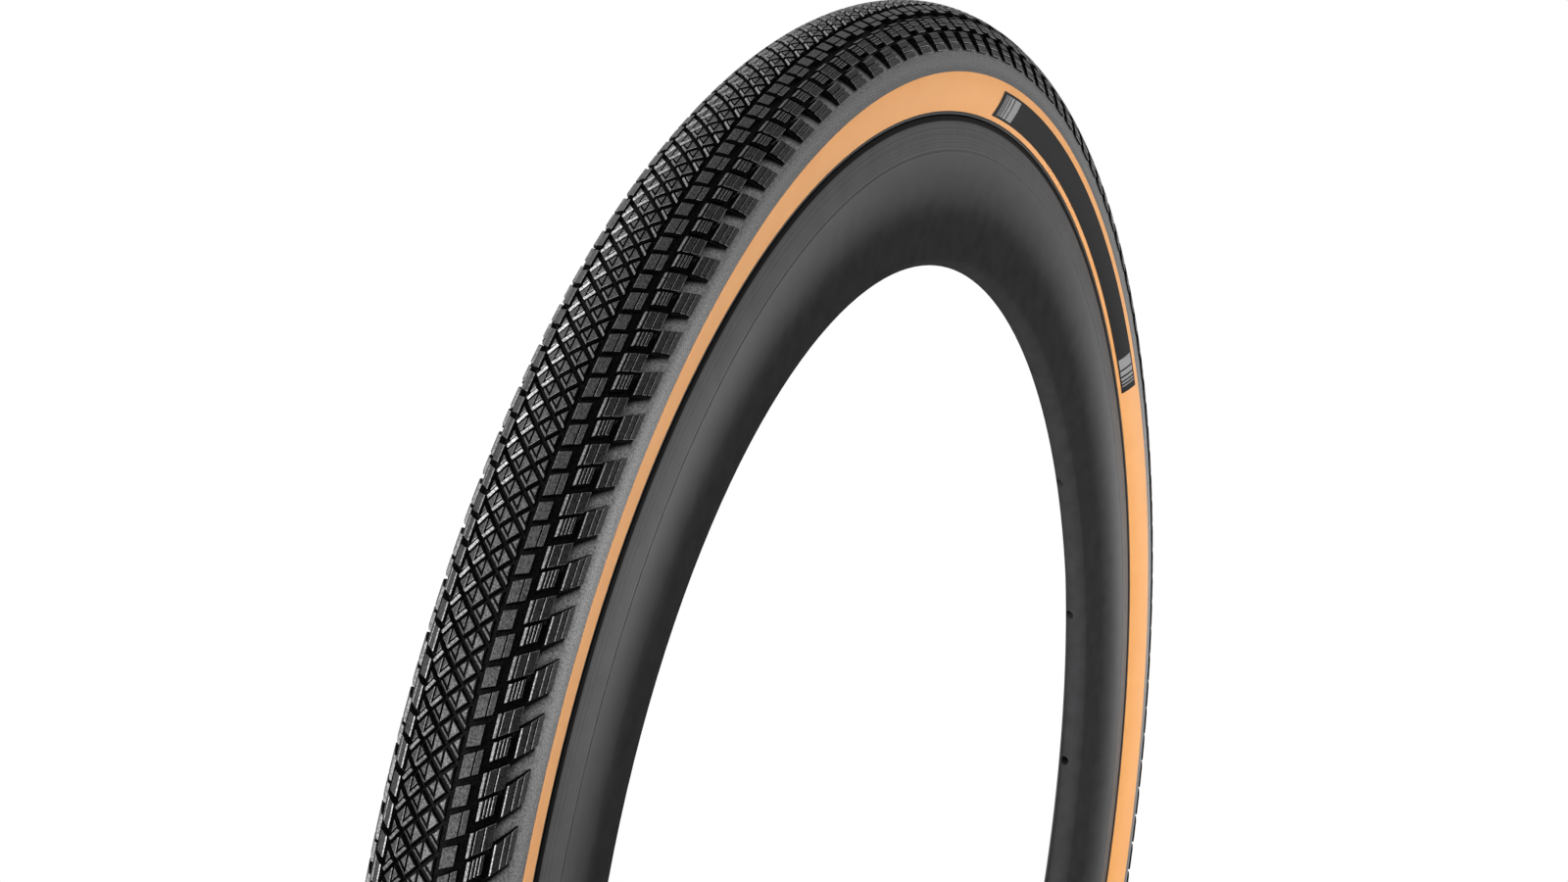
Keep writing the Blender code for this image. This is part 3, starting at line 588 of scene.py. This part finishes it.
def piece(name, bm, finish, body, slot, *nodes):
    """Make a bmesh a named piece that rides on a body and stands for its CAD nodes."""
    bmesh.ops.remove_doubles(bm, verts=bm.verts, dist=MERGE)
    bmesh.ops.recalc_face_normals(bm, faces=bm.faces)
    mesh = mesh_of(name, bm)
    mesh.shade_smooth()
    mesh.set_sharp_from_angle(angle=SHARP_ANGLE)
    mesh.materials.append(finish)
    made = put(name, mesh)
    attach(made, body)
    if nodes:
        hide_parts(*nodes)
    return made


def join(target, bm):
    """Add one bmesh to another."""
    mesh = mesh_of("join", bm)
    target.from_mesh(mesh)
    bpy.data.meshes.remove(mesh)


def slice_off(bm, point, normal):
    """Cut off what lies past a plane, and return the edges of the cut."""
    cut = bmesh.ops.bisect_plane(bm, geom=everything(bm), plane_co=point, plane_no=normal, clear_outer=True)
    return [item for item in cut["geom_cut"] if isinstance(item, bmesh.types.BMEdge)]


def floor_depth(angle):
    """How deep the floor between the blocks lies at an angle across the section."""
    for (start, depth), (end, next_depth) in zip(FLOOR_DEPTHS, FLOOR_DEPTHS[1:]):
        if angle <= end:
            share = (angle - start) / (end - start)
            return (depth + (next_depth - depth) * share) * MM
    return FLOOR_DEPTHS[-1][1] * MM


def flat(across, along):
    """A place on the tread laid flat: across the section and round the wheel, both in degrees."""
    return Vector((math.radians(along + PITCH_PHASE) * OUTER_RADIUS, math.radians(across) * HALF_WIDTH, 0))


def wrap(point):
    """Lay a point of the flat tread on the wheel, heights standing off the section."""
    angle = point.y / HALF_WIDTH
    turn = point.x / OUTER_RADIUS
    reach = HALF_WIDTH + point.z
    radius = WIDEST_RADIUS + reach * math.cos(angle)
    return Vector((radius * math.cos(turn), SHOWN * reach * math.sin(angle), radius * math.sin(turn)))


def knob(tread, corners, foot, top, slope, cuts=(), ramp=None, shine=1.0, painted_edge_highlight=EDGE_PAINTED_HIGHLIGHT):
    """One rubber knob on the flat tread: an outline cut back by planes and raised with sloped walls.

    A ramp is a plane that slants one side of the top; without one the top's edges are eased. Ramps and eased edges
    get a lighter base colour and more gloss than the top, a painted highlight, while the walls, and a knob without
    shine all over, stay dark as painted shade.
    """
    bm = bmesh.new()
    skin = bm.faces.layers.float.new("skin")
    face = bm.faces.new([bm.verts.new((corner.x, corner.y, foot)) for corner in corners])
    face.normal_update()
    if face.normal.z < 0:
        face.normal_flip()
    for point, normal in cuts:
        slice_off(bm, point, normal)
    walls = bmesh.ops.inset_region(bm, faces=bm.faces[:], use_boundary=True, use_even_offset=True,
                                   thickness=slope, depth=top - foot)["faces"]
    crown = [face for face in bm.faces if face not in walls][0]
    bmesh.ops.edgeloop_fill(bm, edges=[edge for edge in bm.edges if edge.is_boundary])
    if ramp:
        bmesh.ops.edgeloop_fill(bm, edges=slice_off(bm, *ramp))
    else:
        bmesh.ops.bevel(bm, geom=crown.edges[:], offset=EDGE_ROUND, offset_type="OFFSET", segments=1, profile=0.5,
                        affect="EDGES", material=-1, clamp_overlap=True)
    bmesh.ops.recalc_face_normals(bm, faces=bm.faces)
    # Tops get their shine, ramps and eased edges a painted highlight, and walls painted shade
    for face in bm.faces:
        if face.normal.z > TOP_UPNESS:
            face[skin] = shine
        else:
            face[skin] = painted_edge_highlight if shine and face.normal.z > EDGE_UPNESS else 0.0
    join(tread, bm)


def one_pitch():
    """An empty bmesh for the knobs of one pitch."""
    bm = bmesh.new()
    bm.faces.layers.float.new("skin")
    return bm


def repeat(bm):
    """Repeat one pitch of the tread all the way round the wheel."""
    bmesh.ops.spin(bm, geom=everything(bm), cent=(0, 0, 0), axis=AXLE, dvec=(0, 0, 0),
                   angle=2 * math.pi * (1 - 1 / PITCH_COUNT), steps=PITCH_COUNT - 1, use_duplicate=True)
    return bm


def round_the_wheel(bm):
    """Wrap one pitch of the flat tread on the wheel and repeat it."""
    for vert in bm.verts:
        vert.co = wrap(vert.co)
    return repeat(bm)


def diamond(tread, across, along, side, clip=None):
    """A small diamond of the centre field, slit along the wheel, with a thin strip split off along one edge."""
    centre = flat(across, along)
    half_along = flat(0, along + CELL_ROUND / 2).x - centre.x
    half_across = flat(CELL_ACROSS / 2, 0).y * side

    def outline(share):
        steps = ((-half_along, 0), (0, half_across), (half_along, 0), (0, -half_across))
        return [centre + Vector((x * share, y * share, 0)) for x, y in steps]

    out = Vector((0, side, 0))
    into = Vector((-half_across, half_along, 0)).normalized() * side
    inner_corner = centre - Vector((0, half_across, 0)) * DIAMOND_TOP
    limit = [] if clip is None else [(clip, out)]
    floor = -floor_depth(abs(across)) - SINK
    knob(tread, outline(DIAMOND_FOOT), floor, -LEDGE_DEPTH, DIAMOND_FOOT_SLOPE, limit, shine=0.0)
    tops = outline(DIAMOND_TOP)
    foot = -LEDGE_DEPTH - SINK
    strip_line = inner_corner + into * STRIP_WIDTH
    main_line = inner_corner + into * (STRIP_WIDTH + DIAMOND_SLIT)
    slant = (inner_corner + into * STRIP_WIDTH * STRIP_RAMP, (UP - into).normalized())
    # The strip's ramp carries a painted highlight
    knob(tread, tops, foot, 0, DIAMOND_SLOPE, [(strip_line, into)] + limit, ramp=slant, shine=DIAMOND_SHINE,
         painted_edge_highlight=STRIP_PAINTED_HIGHLIGHT)
    knob(tread, tops, foot, 0, DIAMOND_SLOPE, [(main_line, -into), (centre - out * DIAMOND_SLIT / 2, out)] + limit,
         shine=DIAMOND_SHINE)
    if clip is None:
        knob(tread, tops, foot, 0, DIAMOND_SLOPE, [(centre + out * DIAMOND_SLIT / 2, -out)], shine=DIAMOND_SHINE)


def centre_field():
    """The middle of the tread: columns of diamonds, cut off square at both edges."""
    bm = one_pitch()
    for number in range(2):
        along = DIAMOND_PHASE + CELL_ROUND * number
        diamond(bm, 0, along, 1)
        for side in (-1, 1):
            diamond(bm, side * CELL_ACROSS / 2, along + CELL_ROUND / 2, side)
            diamond(bm, side * CELL_ACROSS, along, side, clip=flat(side * FIELD_EDGE, 0))
    return round_the_wheel(bm)


def grown(corners, amount):
    """An outline with its corners moved out from its middle."""
    middle = sum(corners, Vector()) / len(corners)
    return [corner + (corner - middle).normalized() * amount for corner in corners]


def block(tread, side, outer, inner, sipes, ramp_width, shine, ledge):
    """A block between two ends of (across, start along, end along), split by sipes at shares of its length.

    Its inboard end is a ramp of the given width, and its dark foot stands out by a ledge, in degrees, past its end,
    a painted shadow of the block.
    """
    (outer_across, outer_start, outer_end), (inner_across, inner_start, inner_end) = outer, inner
    corners = [flat(side * outer_across, outer_start), flat(side * outer_across, outer_end),
               flat(side * inner_across, inner_end), flat(side * inner_across, inner_start)]
    floor = -max(floor_depth(outer_across), floor_depth(inner_across)) - SINK
    # The foot's dark ledge past the block's end is a painted shadow
    feet = [corners[0], flat(side * outer_across, outer_end + ledge), flat(side * inner_across, inner_end + ledge),
            corners[3]]
    knob(tread, grown(feet, BLOCK_FOOT_GROWTH), floor, -LEDGE_DEPTH, BLOCK_FOOT_SLOPE, shine=0.0)
    out = Vector((0, side, 0))
    length = flat(outer_across - inner_across, 0).y
    start = flat(side * inner_across, 0)
    shares = [0.0, *sipes, 1.0]
    for low, high in zip(shares, shares[1:]):
        cuts = []
        slant = None
        if low > 0:
            cuts.append((start + out * (low * length + SIPE / 2), -out))
        else:
            slant = (start + out * ramp_width, (UP - out).normalized())
        if high < 1:
            cuts.append((start + out * (high * length - SIPE / 2), out))
        knob(tread, corners, -LEDGE_DEPTH - SINK, 0, BLOCK_SLOPE, cuts, slant, shine)


def block_rows(layouts):
    """Rows of blocks on both sides of the tread, each block once a pitch."""
    bm = one_pitch()
    for side in (-1, 1):
        for layout in layouts:
            block(bm, side, *layout)
    return round_the_wheel(bm)


def tread_base():
    """The tread's body: the floor between the blocks and the smooth bands down to the tan skin.

    Its steps round the wheel lean with the shoulder blocks, and those clear of a block's painted shadow are light;
    the deep floor between the blocks is painted dark as shade, and the band darker towards the tan skin.
    """
    half = [section(angle, floor_depth(angle)) for angle in angles_between(0, TREAD_EDGE_ANGLE, SECTION_STEP)]
    half += [section(angle, SKIN + CROWN_EXTRA * math.cos(math.radians(min(angle, 90))))
             for angle in angles_between(TREAD_EDGE_ANGLE, 0, INNER_WALL_STEP)]
    bm = spin_outline(ring_points(mirrored(half)), AXLE, PITCH_STEPS, angle=math.radians(PITCH))
    skin = bm.verts.layers.float.new("skin")
    for vert in bm.verts:
        radius = math.hypot(vert.co.x, vert.co.z)
        across = math.degrees(math.atan2(abs(vert.co.y), radius - WIDEST_RADIUS))
        lean = SHOULDER_LEAN * (SHOULDER_OUTER - across) / (SHOULDER_OUTER - SHOULDER_INNER)
        turn = Matrix.Rotation(-math.radians(PITCH_PHASE + lean), 3, "Y")
        step = round(math.degrees(math.atan2(vert.co.z, vert.co.x)) / PITCH * PITCH_STEPS) % PITCH_STEPS
        vert.co = turn @ vert.co
        # Painted shadow in the steps just past a block, painted shade on the deep floor and on the band's edge
        clear = 1.0 if across > BAND_START else GAP_SHINE if step in STEPS_CLEAR_OF_SHADOW else 0.0
        edge_shade = BAND_EDGE_SHADE_AMOUNT * share_between(across, *BAND_EDGE_SHADE)
        vert[skin] = BAND_SHINE * share_between(across, *FLOOR_SHADE_FADE) * clear * (1 - edge_shade)
    repeat(bm)
    bmesh.ops.remove_doubles(bm, verts=bm.verts, dist=PITCH_MERGE)
    return bm


def side_ring(side, outline):
    """A ring on one side of the wheel from an outline given for +Y."""
    return ring([(side * y, radius) for y, radius in outline])


def tan_skin(side):
    """The tan skin between the tread's edge and the bead strip."""
    angles = angles_between(TREAD_EDGE_ANGLE, SKIN_LOW_ANGLE, SECTION_STEP)
    outline = [section(angle) for angle in angles] + [section(angle, SKIN) for angle in reversed(angles)]
    return side_ring(side, outline)


def bead_strip(side):
    """The black strip between the tan skin and the flange, and the foot that it wraps."""
    lip = FLANGE_RADIUS + BEAD_GAP
    outer_y = FLANGE_INNER_Y - BEAD_GAP
    inner_y = outer_y - BEAD_WALL
    bottom = BEAD_SEAT_RADIUS + BEAD_GAP
    toe_y = FLANGE_INNER_Y - BEAD_TOE
    foot = bottom + BEAD_FOOT
    low = SKIN_LOW_ANGLE + BEAD_LAP
    outline = [section(low, BEAD_INSET)] + [(TRACK_Y + y, lip + rise) for y, rise in BEAD_LIP]
    outline += [(outer_y, lip), (outer_y, bottom), (toe_y, bottom), (toe_y, foot)]
    outline += [(inner_y, foot), (inner_y, lip - BEAD_GAP), section(low, SKIN)]
    return side_ring(side, outline)


def rim_nose(angle, side):
    """A point of the rounded nose, 0 degrees at its middle, which lies a little towards the shown side."""
    turn = math.radians(angle)
    middle = NOSE_OFFSET * SHOWN * side
    return middle + NOSE_RADIUS * math.sin(turn), NOSE_INNER_RADIUS + NOSE_RADIUS * (1 - math.cos(turn))


def rim_flank(share, side):
    """A point of the flank, 0 at the brake track's end and 1 at the nose, bulged in its upper half."""
    end_y, end_radius = rim_nose(NOSE_ANGLE, side)
    bulge = FLANK_BULGE * math.sin(math.pi * min(2 * share, 1.0))
    sweep = FLANK_STRAIGHT * share + (1 - FLANK_STRAIGHT) * (1 - math.cos(share * math.pi / 2))
    y = TRACK_END_Y + bulge - (TRACK_END_Y - end_y) * sweep
    return y, TRACK_END_RADIUS + (end_radius - TRACK_END_RADIUS) * share


def rim_half(side):
    """One side of the rim's outline from the well to the nose, with distances from the middle plane."""
    half = [(0, WELL_RADIUS), (WELL_HALF_WIDTH, WELL_RADIUS), (SEAT_INNER_Y, BEAD_SEAT_RADIUS)]
    half += [(FLANGE_INNER_Y, BEAD_SEAT_RADIUS)]
    for centre_y, start in ((FLANGE_INNER_Y + FLANGE_ROUND, 180), (TRACK_Y - FLANGE_ROUND, 90)):
        for angle in angles_between(start, start - 90, FLANGE_STEP):
            turn = math.radians(angle)
            half.append((centre_y + FLANGE_ROUND * math.cos(turn),
                         FLANGE_RADIUS - FLANGE_ROUND + FLANGE_ROUND * math.sin(turn)))
    groove = TRACK_END_Y - TRACK_STEP
    half += [(TRACK_END_Y, TRACK_END_RADIUS + 2 * TRACK_STEP), (groove, TRACK_END_RADIUS + TRACK_STEP)]
    half += [rim_flank(number / FLANK_STEPS, side) for number in range(FLANK_STEPS)]
    half += [rim_nose(angle, side) for angle in angles_between(NOSE_ANGLE, 0, NOSE_STEP)]
    return half


def rim_shell():
    """The deep rim: well, bead seats, rounded flanges, turned brake tracks, sides and nose."""
    outline = rim_half(HIDDEN) + [(-y, radius) for y, radius in reversed(rim_half(SHOWN)[1:-1])]
    return ring(outline, RIM_STEPS)


def radial_drill(bm, degrees, diameter, start, end):
    """Add a round bar along the radius, to drill a hole with."""
    turn = Matrix.Rotation(math.radians(90 - degrees), 4, "Y") @ DRILL_TURN
    place = Matrix.Translation(on_wheel(0, (start + end) / 2, degrees))
    bmesh.ops.create_cone(bm, cap_ends=True, segments=DRILL_SIDES, radius1=diameter / 2, radius2=diameter / 2,
                          depth=end - start, matrix=place @ turn)


def cut_or_join(rim, bm, operation):
    """Cut a shape out of the rim, or join it on."""
    tool = put("tool", mesh_of("tool", bm))
    change = rim.modifiers.new("change", "BOOLEAN")
    change.operation = operation
    change.solver = "EXACT"
    change.object = tool
    graph = bpy.context.evaluated_depsgraph_get()
    changed = bpy.data.meshes.new_from_object(rim.evaluated_get(graph))
    rim.modifiers.clear()
    rim.data = changed
    changed.set_sharp_from_angle(angle=SHARP_ANGLE)
    bpy.data.objects.remove(tool)


def drill_rim(rim):
    """Join on the flat pad that the valve's O-ring seals on, then drill the spoke holes and the valve's hole."""
    bm = bmesh.new()
    face = O_RING_PLACE + O_RING_HALF
    pad = Matrix.Translation(on_wheel(0, face + VALVE_PAD_DEPTH / 2, VALVE_ANGLE)) @ DRILL_TURN
    bmesh.ops.create_cone(bm, cap_ends=True, segments=VALVE_PAD_SIDES, radius1=VALVE_PAD_RADIUS + VALVE_PAD_FLARE,
                          radius2=VALVE_PAD_RADIUS, depth=VALVE_PAD_DEPTH, matrix=pad)
    cut_or_join(rim, bm, "UNION")
    bm = bmesh.new()
    start = NOSE_INNER_RADIUS - DRILL_CLEARANCE
    for number in range(SPOKE_COUNT):
        degrees = VALVE_ANGLE + 360 / SPOKE_COUNT * (number + 0.5)
        radial_drill(bm, degrees, SPOKE_HOLE, start, NOSE_INNER_RADIUS + SPOKE_HOLE_DEPTH)
    radial_drill(bm, VALVE_ANGLE, VALVE_HOLE, start, BEAD_SEAT_RADIUS)
    cut_or_join(rim, bm, "DIFFERENCE")


def on_skin(share, degrees, lift):
    """A point on the shown tan skin: 0 at the tread's edge and 1 at the bead strip."""
    angle = TREAD_EDGE_ANGLE + (SKIN_LOW_ANGLE - TREAD_EDGE_ANGLE) * share
    y, radius = section(angle, -lift)
    return on_wheel(SHOWN * y, radius, degrees)


def skin_patch(start, end, high, low, lift):
    """A thin patch on the tan skin, its two ends slanted."""
    bm = bmesh.new()
    bmesh.ops.create_grid(bm, x_segments=max(1, round((end - start) / LABEL_STEP)), y_segments=LABEL_ROWS, size=0.5)
    for vert in bm.verts:
        share = high + (low - high) * (0.5 - vert.co.y)
        slant = LABEL_SLANT * (0.5 - share)
        degrees = start + (end - start) * (vert.co.x + 0.5) + slant
        vert.co = on_skin(share, degrees, lift)
    bmesh.ops.recalc_face_normals(bm, faces=bm.faces)
    bmesh.ops.solidify(bm, geom=bm.faces[:], thickness=LABEL_THICKNESS)
    return bm


def label_bars():
    """Plain bars at both ends of the label's place, thin ones outside and wide ones inside."""
    bm = bmesh.new()
    high, low = LABEL_HIGH + BAR_MARGIN, LABEL_LOW - BAR_MARGIN
    for end, way in ((LABEL_END, -1), (LABEL_START, 1)):
        place = BAR_START
        for width in BAR_WIDTHS:
            start, stop = sorted((end + way * place, end + way * (place + width)))
            join(bm, skin_patch(start, stop, high, low, LABEL_LIFT + LABEL_THICKNESS))
            place += width + BAR_GAP
    return bm


def thread(radius, start, end):
    """The ridges of a thread along a turned outline, from start to end."""
    ridges = []
    count = int(abs(end - start) / THREAD_PITCH)
    way = THREAD_PITCH if end > start else -THREAD_PITCH
    for number in range(count):
        foot = start + way * number
        ridges += [(radius - THREAD_DEPTH, foot)] + [(radius, foot + way * share) for share in THREAD_CREST]
    return ridges + [(radius - THREAD_DEPTH, end)]


def fluted(outline, radius, flutes, depth, closed=True):
    """A turned piece with flutes pressed into its outside, every other step in."""
    bm = turned(outline, 2 * flutes, closed)
    step = math.pi / flutes
    for vert in bm.verts:
        out = math.hypot(vert.co.x, vert.co.y)
        if out > radius * FLUTED_SHARE and round(math.atan2(vert.co.y, vert.co.x) / step) % 2:
            vert.co.x *= 1 - depth / out
            vert.co.y *= 1 - depth / out
    return bm


def nut(bore, radius, low, high, ease, flutes, depth):
    """A round nut, fluted for the fingers and chamfered at both ends."""
    outline = [(bore, low), (radius - ease, low), (radius, low + ease)]
    outline += [(radius, high - ease), (radius - ease, high), (bore, high)]
    return fluted(outline, radius, flutes, depth)


def stem():
    """The threaded stem with its slimmer tip and the head inside the tyre."""
    thread_start, thread_end = (TIP_START + place for place in STEM_THREAD)
    head_end = HEAD_FOOT + HEAD_HEIGHT
    outline = [(STEM_BORE, STEM_END)] + thread(TIP_RADIUS, STEM_END, TIP_START)
    outline += thread(STEM_RADIUS, thread_start, thread_end)
    outline += [(STEM_RADIUS, TIP_START + STEM_PLAIN), (STEM_RADIUS, HEAD_FOOT), (HEAD_RADIUS, HEAD_FOOT)]
    outline += [(HEAD_RADIUS, head_end), (STEM_AIR_BORE, head_end), (STEM_AIR_BORE, STEM_BORE_END)]
    outline += [(STEM_BORE, STEM_BORE_END)]
    return turned(outline)


def o_ring():
    """The round rubber ring under the lock nut."""
    centre = VALVE_HOLE / 2 + O_RING_HALF
    turns = [math.radians(angle) for angle in range(0, 360, O_RING_STEP)]
    return turned([(centre + O_RING_HALF * math.cos(turn), O_RING_PLACE + O_RING_HALF * math.sin(turn))
                   for turn in turns])


def core():
    """The removable core: a sleeve in the stem and a head with two wrench flats."""
    outline = [(CORE_BORE, CORE_HEAD_END), (CORE_HEAD_TOP, CORE_HEAD_END)]
    outline += [(CORE_HEAD_RADIUS, CORE_HEAD_END + CORE_HEAD_EASE), (CORE_HEAD_RADIUS, CORE_SEAT)]
    outline += [(CORE_SLEEVE, CORE_SEAT), (CORE_SLEEVE, CORE_END), (CORE_BORE, CORE_END)]
    bm = turned(outline)
    for side in (-1, 1):
        bmesh.ops.edgeloop_fill(bm, edges=slice_off(bm, (0, side * CORE_FLAT, 0), (0, side, 0)))
    return bm


def pin():
    """The pin: swaged tip, threaded shank and the foot that holds the seal."""
    foot_end = PIN_FOOT + PIN_FOOT_HEIGHT
    outline = [(0, PIN_END), (PIN_TIP_TOP, PIN_END)]
    outline += [(PIN_TIP_RADIUS, PIN_END + PIN_TIP_EASE), (PIN_TIP_RADIUS, PIN_END + PIN_TIP_LENGTH)]
    outline += thread(PIN_RADIUS, PIN_END + PIN_THREAD_START, PIN_FOOT)
    outline += [(PIN_FOOT_RADIUS, PIN_FOOT), (PIN_FOOT_RADIUS, foot_end), (0, foot_end)]
    return turned(outline, PIN_STEPS, closed=False)


def cap():
    """The tapered plastic cap, fluted outside and hollow over the core and the pin."""
    outline = [(0, CAP_INSIDE_END), (CAP_BORE, CAP_INSIDE_END), (CAP_BORE, CAP_OPEN_END), (CAP_RADIUS, CAP_OPEN_END)]
    outline += [(CAP_RADIUS, CORE_SEAT), (CAP_TAPERED, CAP_INSIDE_END), (CAP_SHOULDER, CAP_CLOSED_END + CAP_EASE)]
    outline += [(CAP_TOP, CAP_CLOSED_END), (0, CAP_CLOSED_END)]
    return fluted(outline, CAP_RADIUS, flutes=24, depth=0.22 * MM, closed=False)


def dress(node, finish):
    """Give a CAD node that keeps its own shape a finish."""
    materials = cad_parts[node].data.materials
    materials.clear()
    materials.append(finish)


def build_tyre():
    """The tread, the tan skins, the bead strips and the bare label place."""
    rubber = moulded_tread_rubber()
    tan = tan_sidewall_rubber()
    strip = plain_rubber("bead_strip_rubber", "#111112", roughness=0.6, grain_size=0.4 * MM)
    piece("tread_base", tread_base(), rubber, "wheel", "tread_rubber", "tread")
    piece("tread_diamonds", centre_field(), rubber, "wheel", "tread_rubber", "tread")
    piece("tread_transition_blocks", block_rows(TRANSITION_BLOCKS), rubber, "wheel", "tread_rubber", "tread")
    piece("tread_shoulder_blocks", block_rows(SHOULDER_BLOCKS), rubber, "wheel", "tread_rubber", "tread")
    for side, word in ((SHOWN, "left"), (HIDDEN, "right")):
        piece("tan_skin_" + word, tan_skin(side), tan, "wheel", "tan_sidewall", "sidewall_" + word)
        piece("bead_strip_" + word, bead_strip(side), strip, "wheel", "chafer_rubber", "chafer_" + word)
    patch = skin_patch(LABEL_START, LABEL_END, LABEL_HIGH, LABEL_LOW, LABEL_LIFT)
    piece("label_place", patch, printed_ink("dark_print", "#151515"), "wheel", "tan_sidewall")
    piece("label_bars", label_bars(), printed_ink("grey_print", "#8a8a8a"), "wheel", "tan_sidewall")


def build_rim():
    """The deep rim with its drilled holes."""
    drill_rim(piece("rim_shell", rim_shell(), satin_carbon(), "wheel", "carbon", "rim"))


def build_valve():
    """The valve's pieces, each on the body that moves it."""
    alloy = turned_metal("black_anodised_alloy", "#1c1c1d", roughness=0.35, anodised=True)
    brass = turned_metal("turned_brass", "#c2a35e", roughness=0.28, anodised=False)
    rubber = plain_rubber("o_ring_rubber", "#101010", roughness=0.5, grain_size=0.3 * MM)
    plastic = moulded_plastic("moulded_cap_plastic", "#161616", roughness=0.45)
    lock_nut = nut(VALVE_HOLE / 2, NUT_RADIUS, NUT_LOW, NUT_HIGH, ease=0.6 * MM, flutes=36, depth=0.35 * MM)
    core_nut = nut(CORE_BORE, CORE_NUT_RADIUS, CORE_NUT_LOW, CORE_NUT_HIGH, ease=0.35 * MM, flutes=24,
                   depth=0.2 * MM)
    piece("stem", stem(), alloy, "wheel", "black_alloy", "valve_stem")
    piece("core", core(), brass, "wheel", "valve_brass", "valve_core")
    piece("o_ring", o_ring(), rubber, "o_ring", "seal_rubber", "valve_o_ring")
    piece("lock_nut", lock_nut, alloy, "lock_nut", "black_alloy", "valve_lock_nut")
    piece("core_nut", core_nut, brass, "core_nut", "valve_brass", "valve_core_nut")
    piece("pin", pin(), brass, "pin", "valve_brass", "valve_pin")
    piece("cap", cap(), plastic, "cap", "cap_plastic", "valve_cap")


def dress_inner_nodes():
    """Finishes for the layers inside the tyre, whose shapes stay as they are."""
    dress("breaker_belt", cord_cloth("rubbered_nylon_weave", "#5d584c", "#a09782", thread=0.8 * MM))
    dress("casing", cord_cloth("rubbered_casing_cord", "#2b2826", "#5b554f", thread=0.4 * MM))
    aramid = cord_cloth("twisted_aramid", "#a9832f", "#e0c067", thread=0.5 * MM)
    dress("bead_core_left", aramid)
    dress("bead_core_right", aramid)
    dress("rim_tape", moulded_plastic("sealing_tape_film", "#3a5f9c", roughness=0.4))
    seal = plain_rubber("seal_rubber", "#141414", roughness=0.6, grain_size=0.3 * MM)
    dress("valve_grommet", seal)
    dress("valve_pin_seal", seal)


def seen_direct(tree):
    """1 for the rays that show the background: camera, mirror and glass rays."""
    path = add(tree, "ShaderNodeLightPath").outputs
    both = add(tree, "ShaderNodeMath", {0: path["Is Camera Ray"], 1: path["Is Glossy Ray"]}, operation="MAXIMUM")
    return add(tree, "ShaderNodeMath", {0: both.outputs[0], 1: path["Is Transmission Ray"]},
               operation="MAXIMUM").outputs[0]


def pale_floor():
    """Matt pale paper near the wheel, where its shadow falls, that runs out into plain white."""
    finish, tree, shader = blank("pale_floor_paper")
    shader.inputs["Base Color"].default_value = linear("#f0f0f0")
    shader.inputs["Roughness"].default_value = 0.9
    shader.inputs["Specular IOR Level"].default_value = 0.0
    place = add(tree, "ShaderNodeTexCoord")
    split = add(tree, "ShaderNodeSeparateXYZ", {"Vector": place.outputs["Object"]})
    level_place = add(tree, "ShaderNodeCombineXYZ", {"X": split.outputs["X"], "Y": split.outputs["Y"]})
    away = add(tree, "ShaderNodeVectorMath", {0: level_place.outputs[0]}, operation="LENGTH")
    far = add(tree, "ShaderNodeMapRange", {"Value": away.outputs["Value"], "From Min": FLOOR_SHADE,
                                           "From Max": FLOOR_WHITE}, interpolation_type="SMOOTHSTEP")
    share = add(tree, "ShaderNodeMath", {0: far.outputs[0], 1: seen_direct(tree)}, operation="MULTIPLY")
    white = add(tree, "ShaderNodeEmission", {"Strength": 1.0})
    both = add(tree, "ShaderNodeMixShader", {0: share.outputs[0], 1: shader.outputs[0], 2: white.outputs[0]})
    tree.links.new(both.outputs[0], tree.nodes["Material Output"].inputs["Surface"])
    return finish


def build_stage():
    """A plain pale floor under the wheel, and white all round."""
    bm = bmesh.new()
    bmesh.ops.create_circle(bm, cap_ends=True, segments=FLOOR_SIDES, radius=FLOOR_RADIUS,
                            matrix=Matrix.Translation((0, 0, -OUTER_RADIUS)))
    floor = put("floor", mesh_of("floor", bm))
    floor.data.materials.append(pale_floor())
    world = bpy.data.worlds.new("studio")
    world.use_nodes = True
    tree = world.node_tree
    tree.nodes.clear()
    level = add(tree, "ShaderNodeMapRange", {"Value": seen_direct(tree), "To Min": WORLD_LEVEL, "To Max": 1.0})
    white = add(tree, "ShaderNodeBackground", {"Color": (1, 1, 1, 1), "Strength": level.outputs[0]})
    add(tree, "ShaderNodeOutputWorld", {"Surface": white.outputs[0]})
    bpy.context.scene.world = world


def aim(thing, way):
    """Turn a lamp or the camera to face along a vector."""
    thing.rotation_euler = way.to_track_quat("-Z", "Y").to_euler()


def soft_box(name, place, size, power):
    """A large soft lamp aimed at the wheel."""
    light = bpy.data.lights.new(name, "AREA")
    light.shape = "RECTANGLE"
    light.size, light.size_y = size
    light.energy = power
    lamp = put(name, light)
    lamp.location = place
    lamp.visible_camera = False
    aim(lamp, -Vector(place))


def light_and_camera():
    """Soft lamps from the left, the back and low on the right, and the photograph's view."""
    for box in SOFT_BOXES:
        soft_box(*box)
    data = bpy.data.cameras.new("camera")
    data.lens = CAMERA_LENS
    camera = put("camera", data)
    camera.location = CAMERA_PLACE
    azimuth, elevation = math.radians(CAMERA_AZIMUTH), math.radians(CAMERA_ELEVATION)
    level = math.cos(elevation)
    aim(camera, Vector((level * math.cos(azimuth), level * math.sin(azimuth), math.sin(elevation))))
    bpy.context.scene.camera = camera


bpy.context.scene.view_settings.view_transform = "Standard"
build_tyre()
build_rim()
build_valve()
dress_inner_nodes()
build_stage()
light_and_camera()
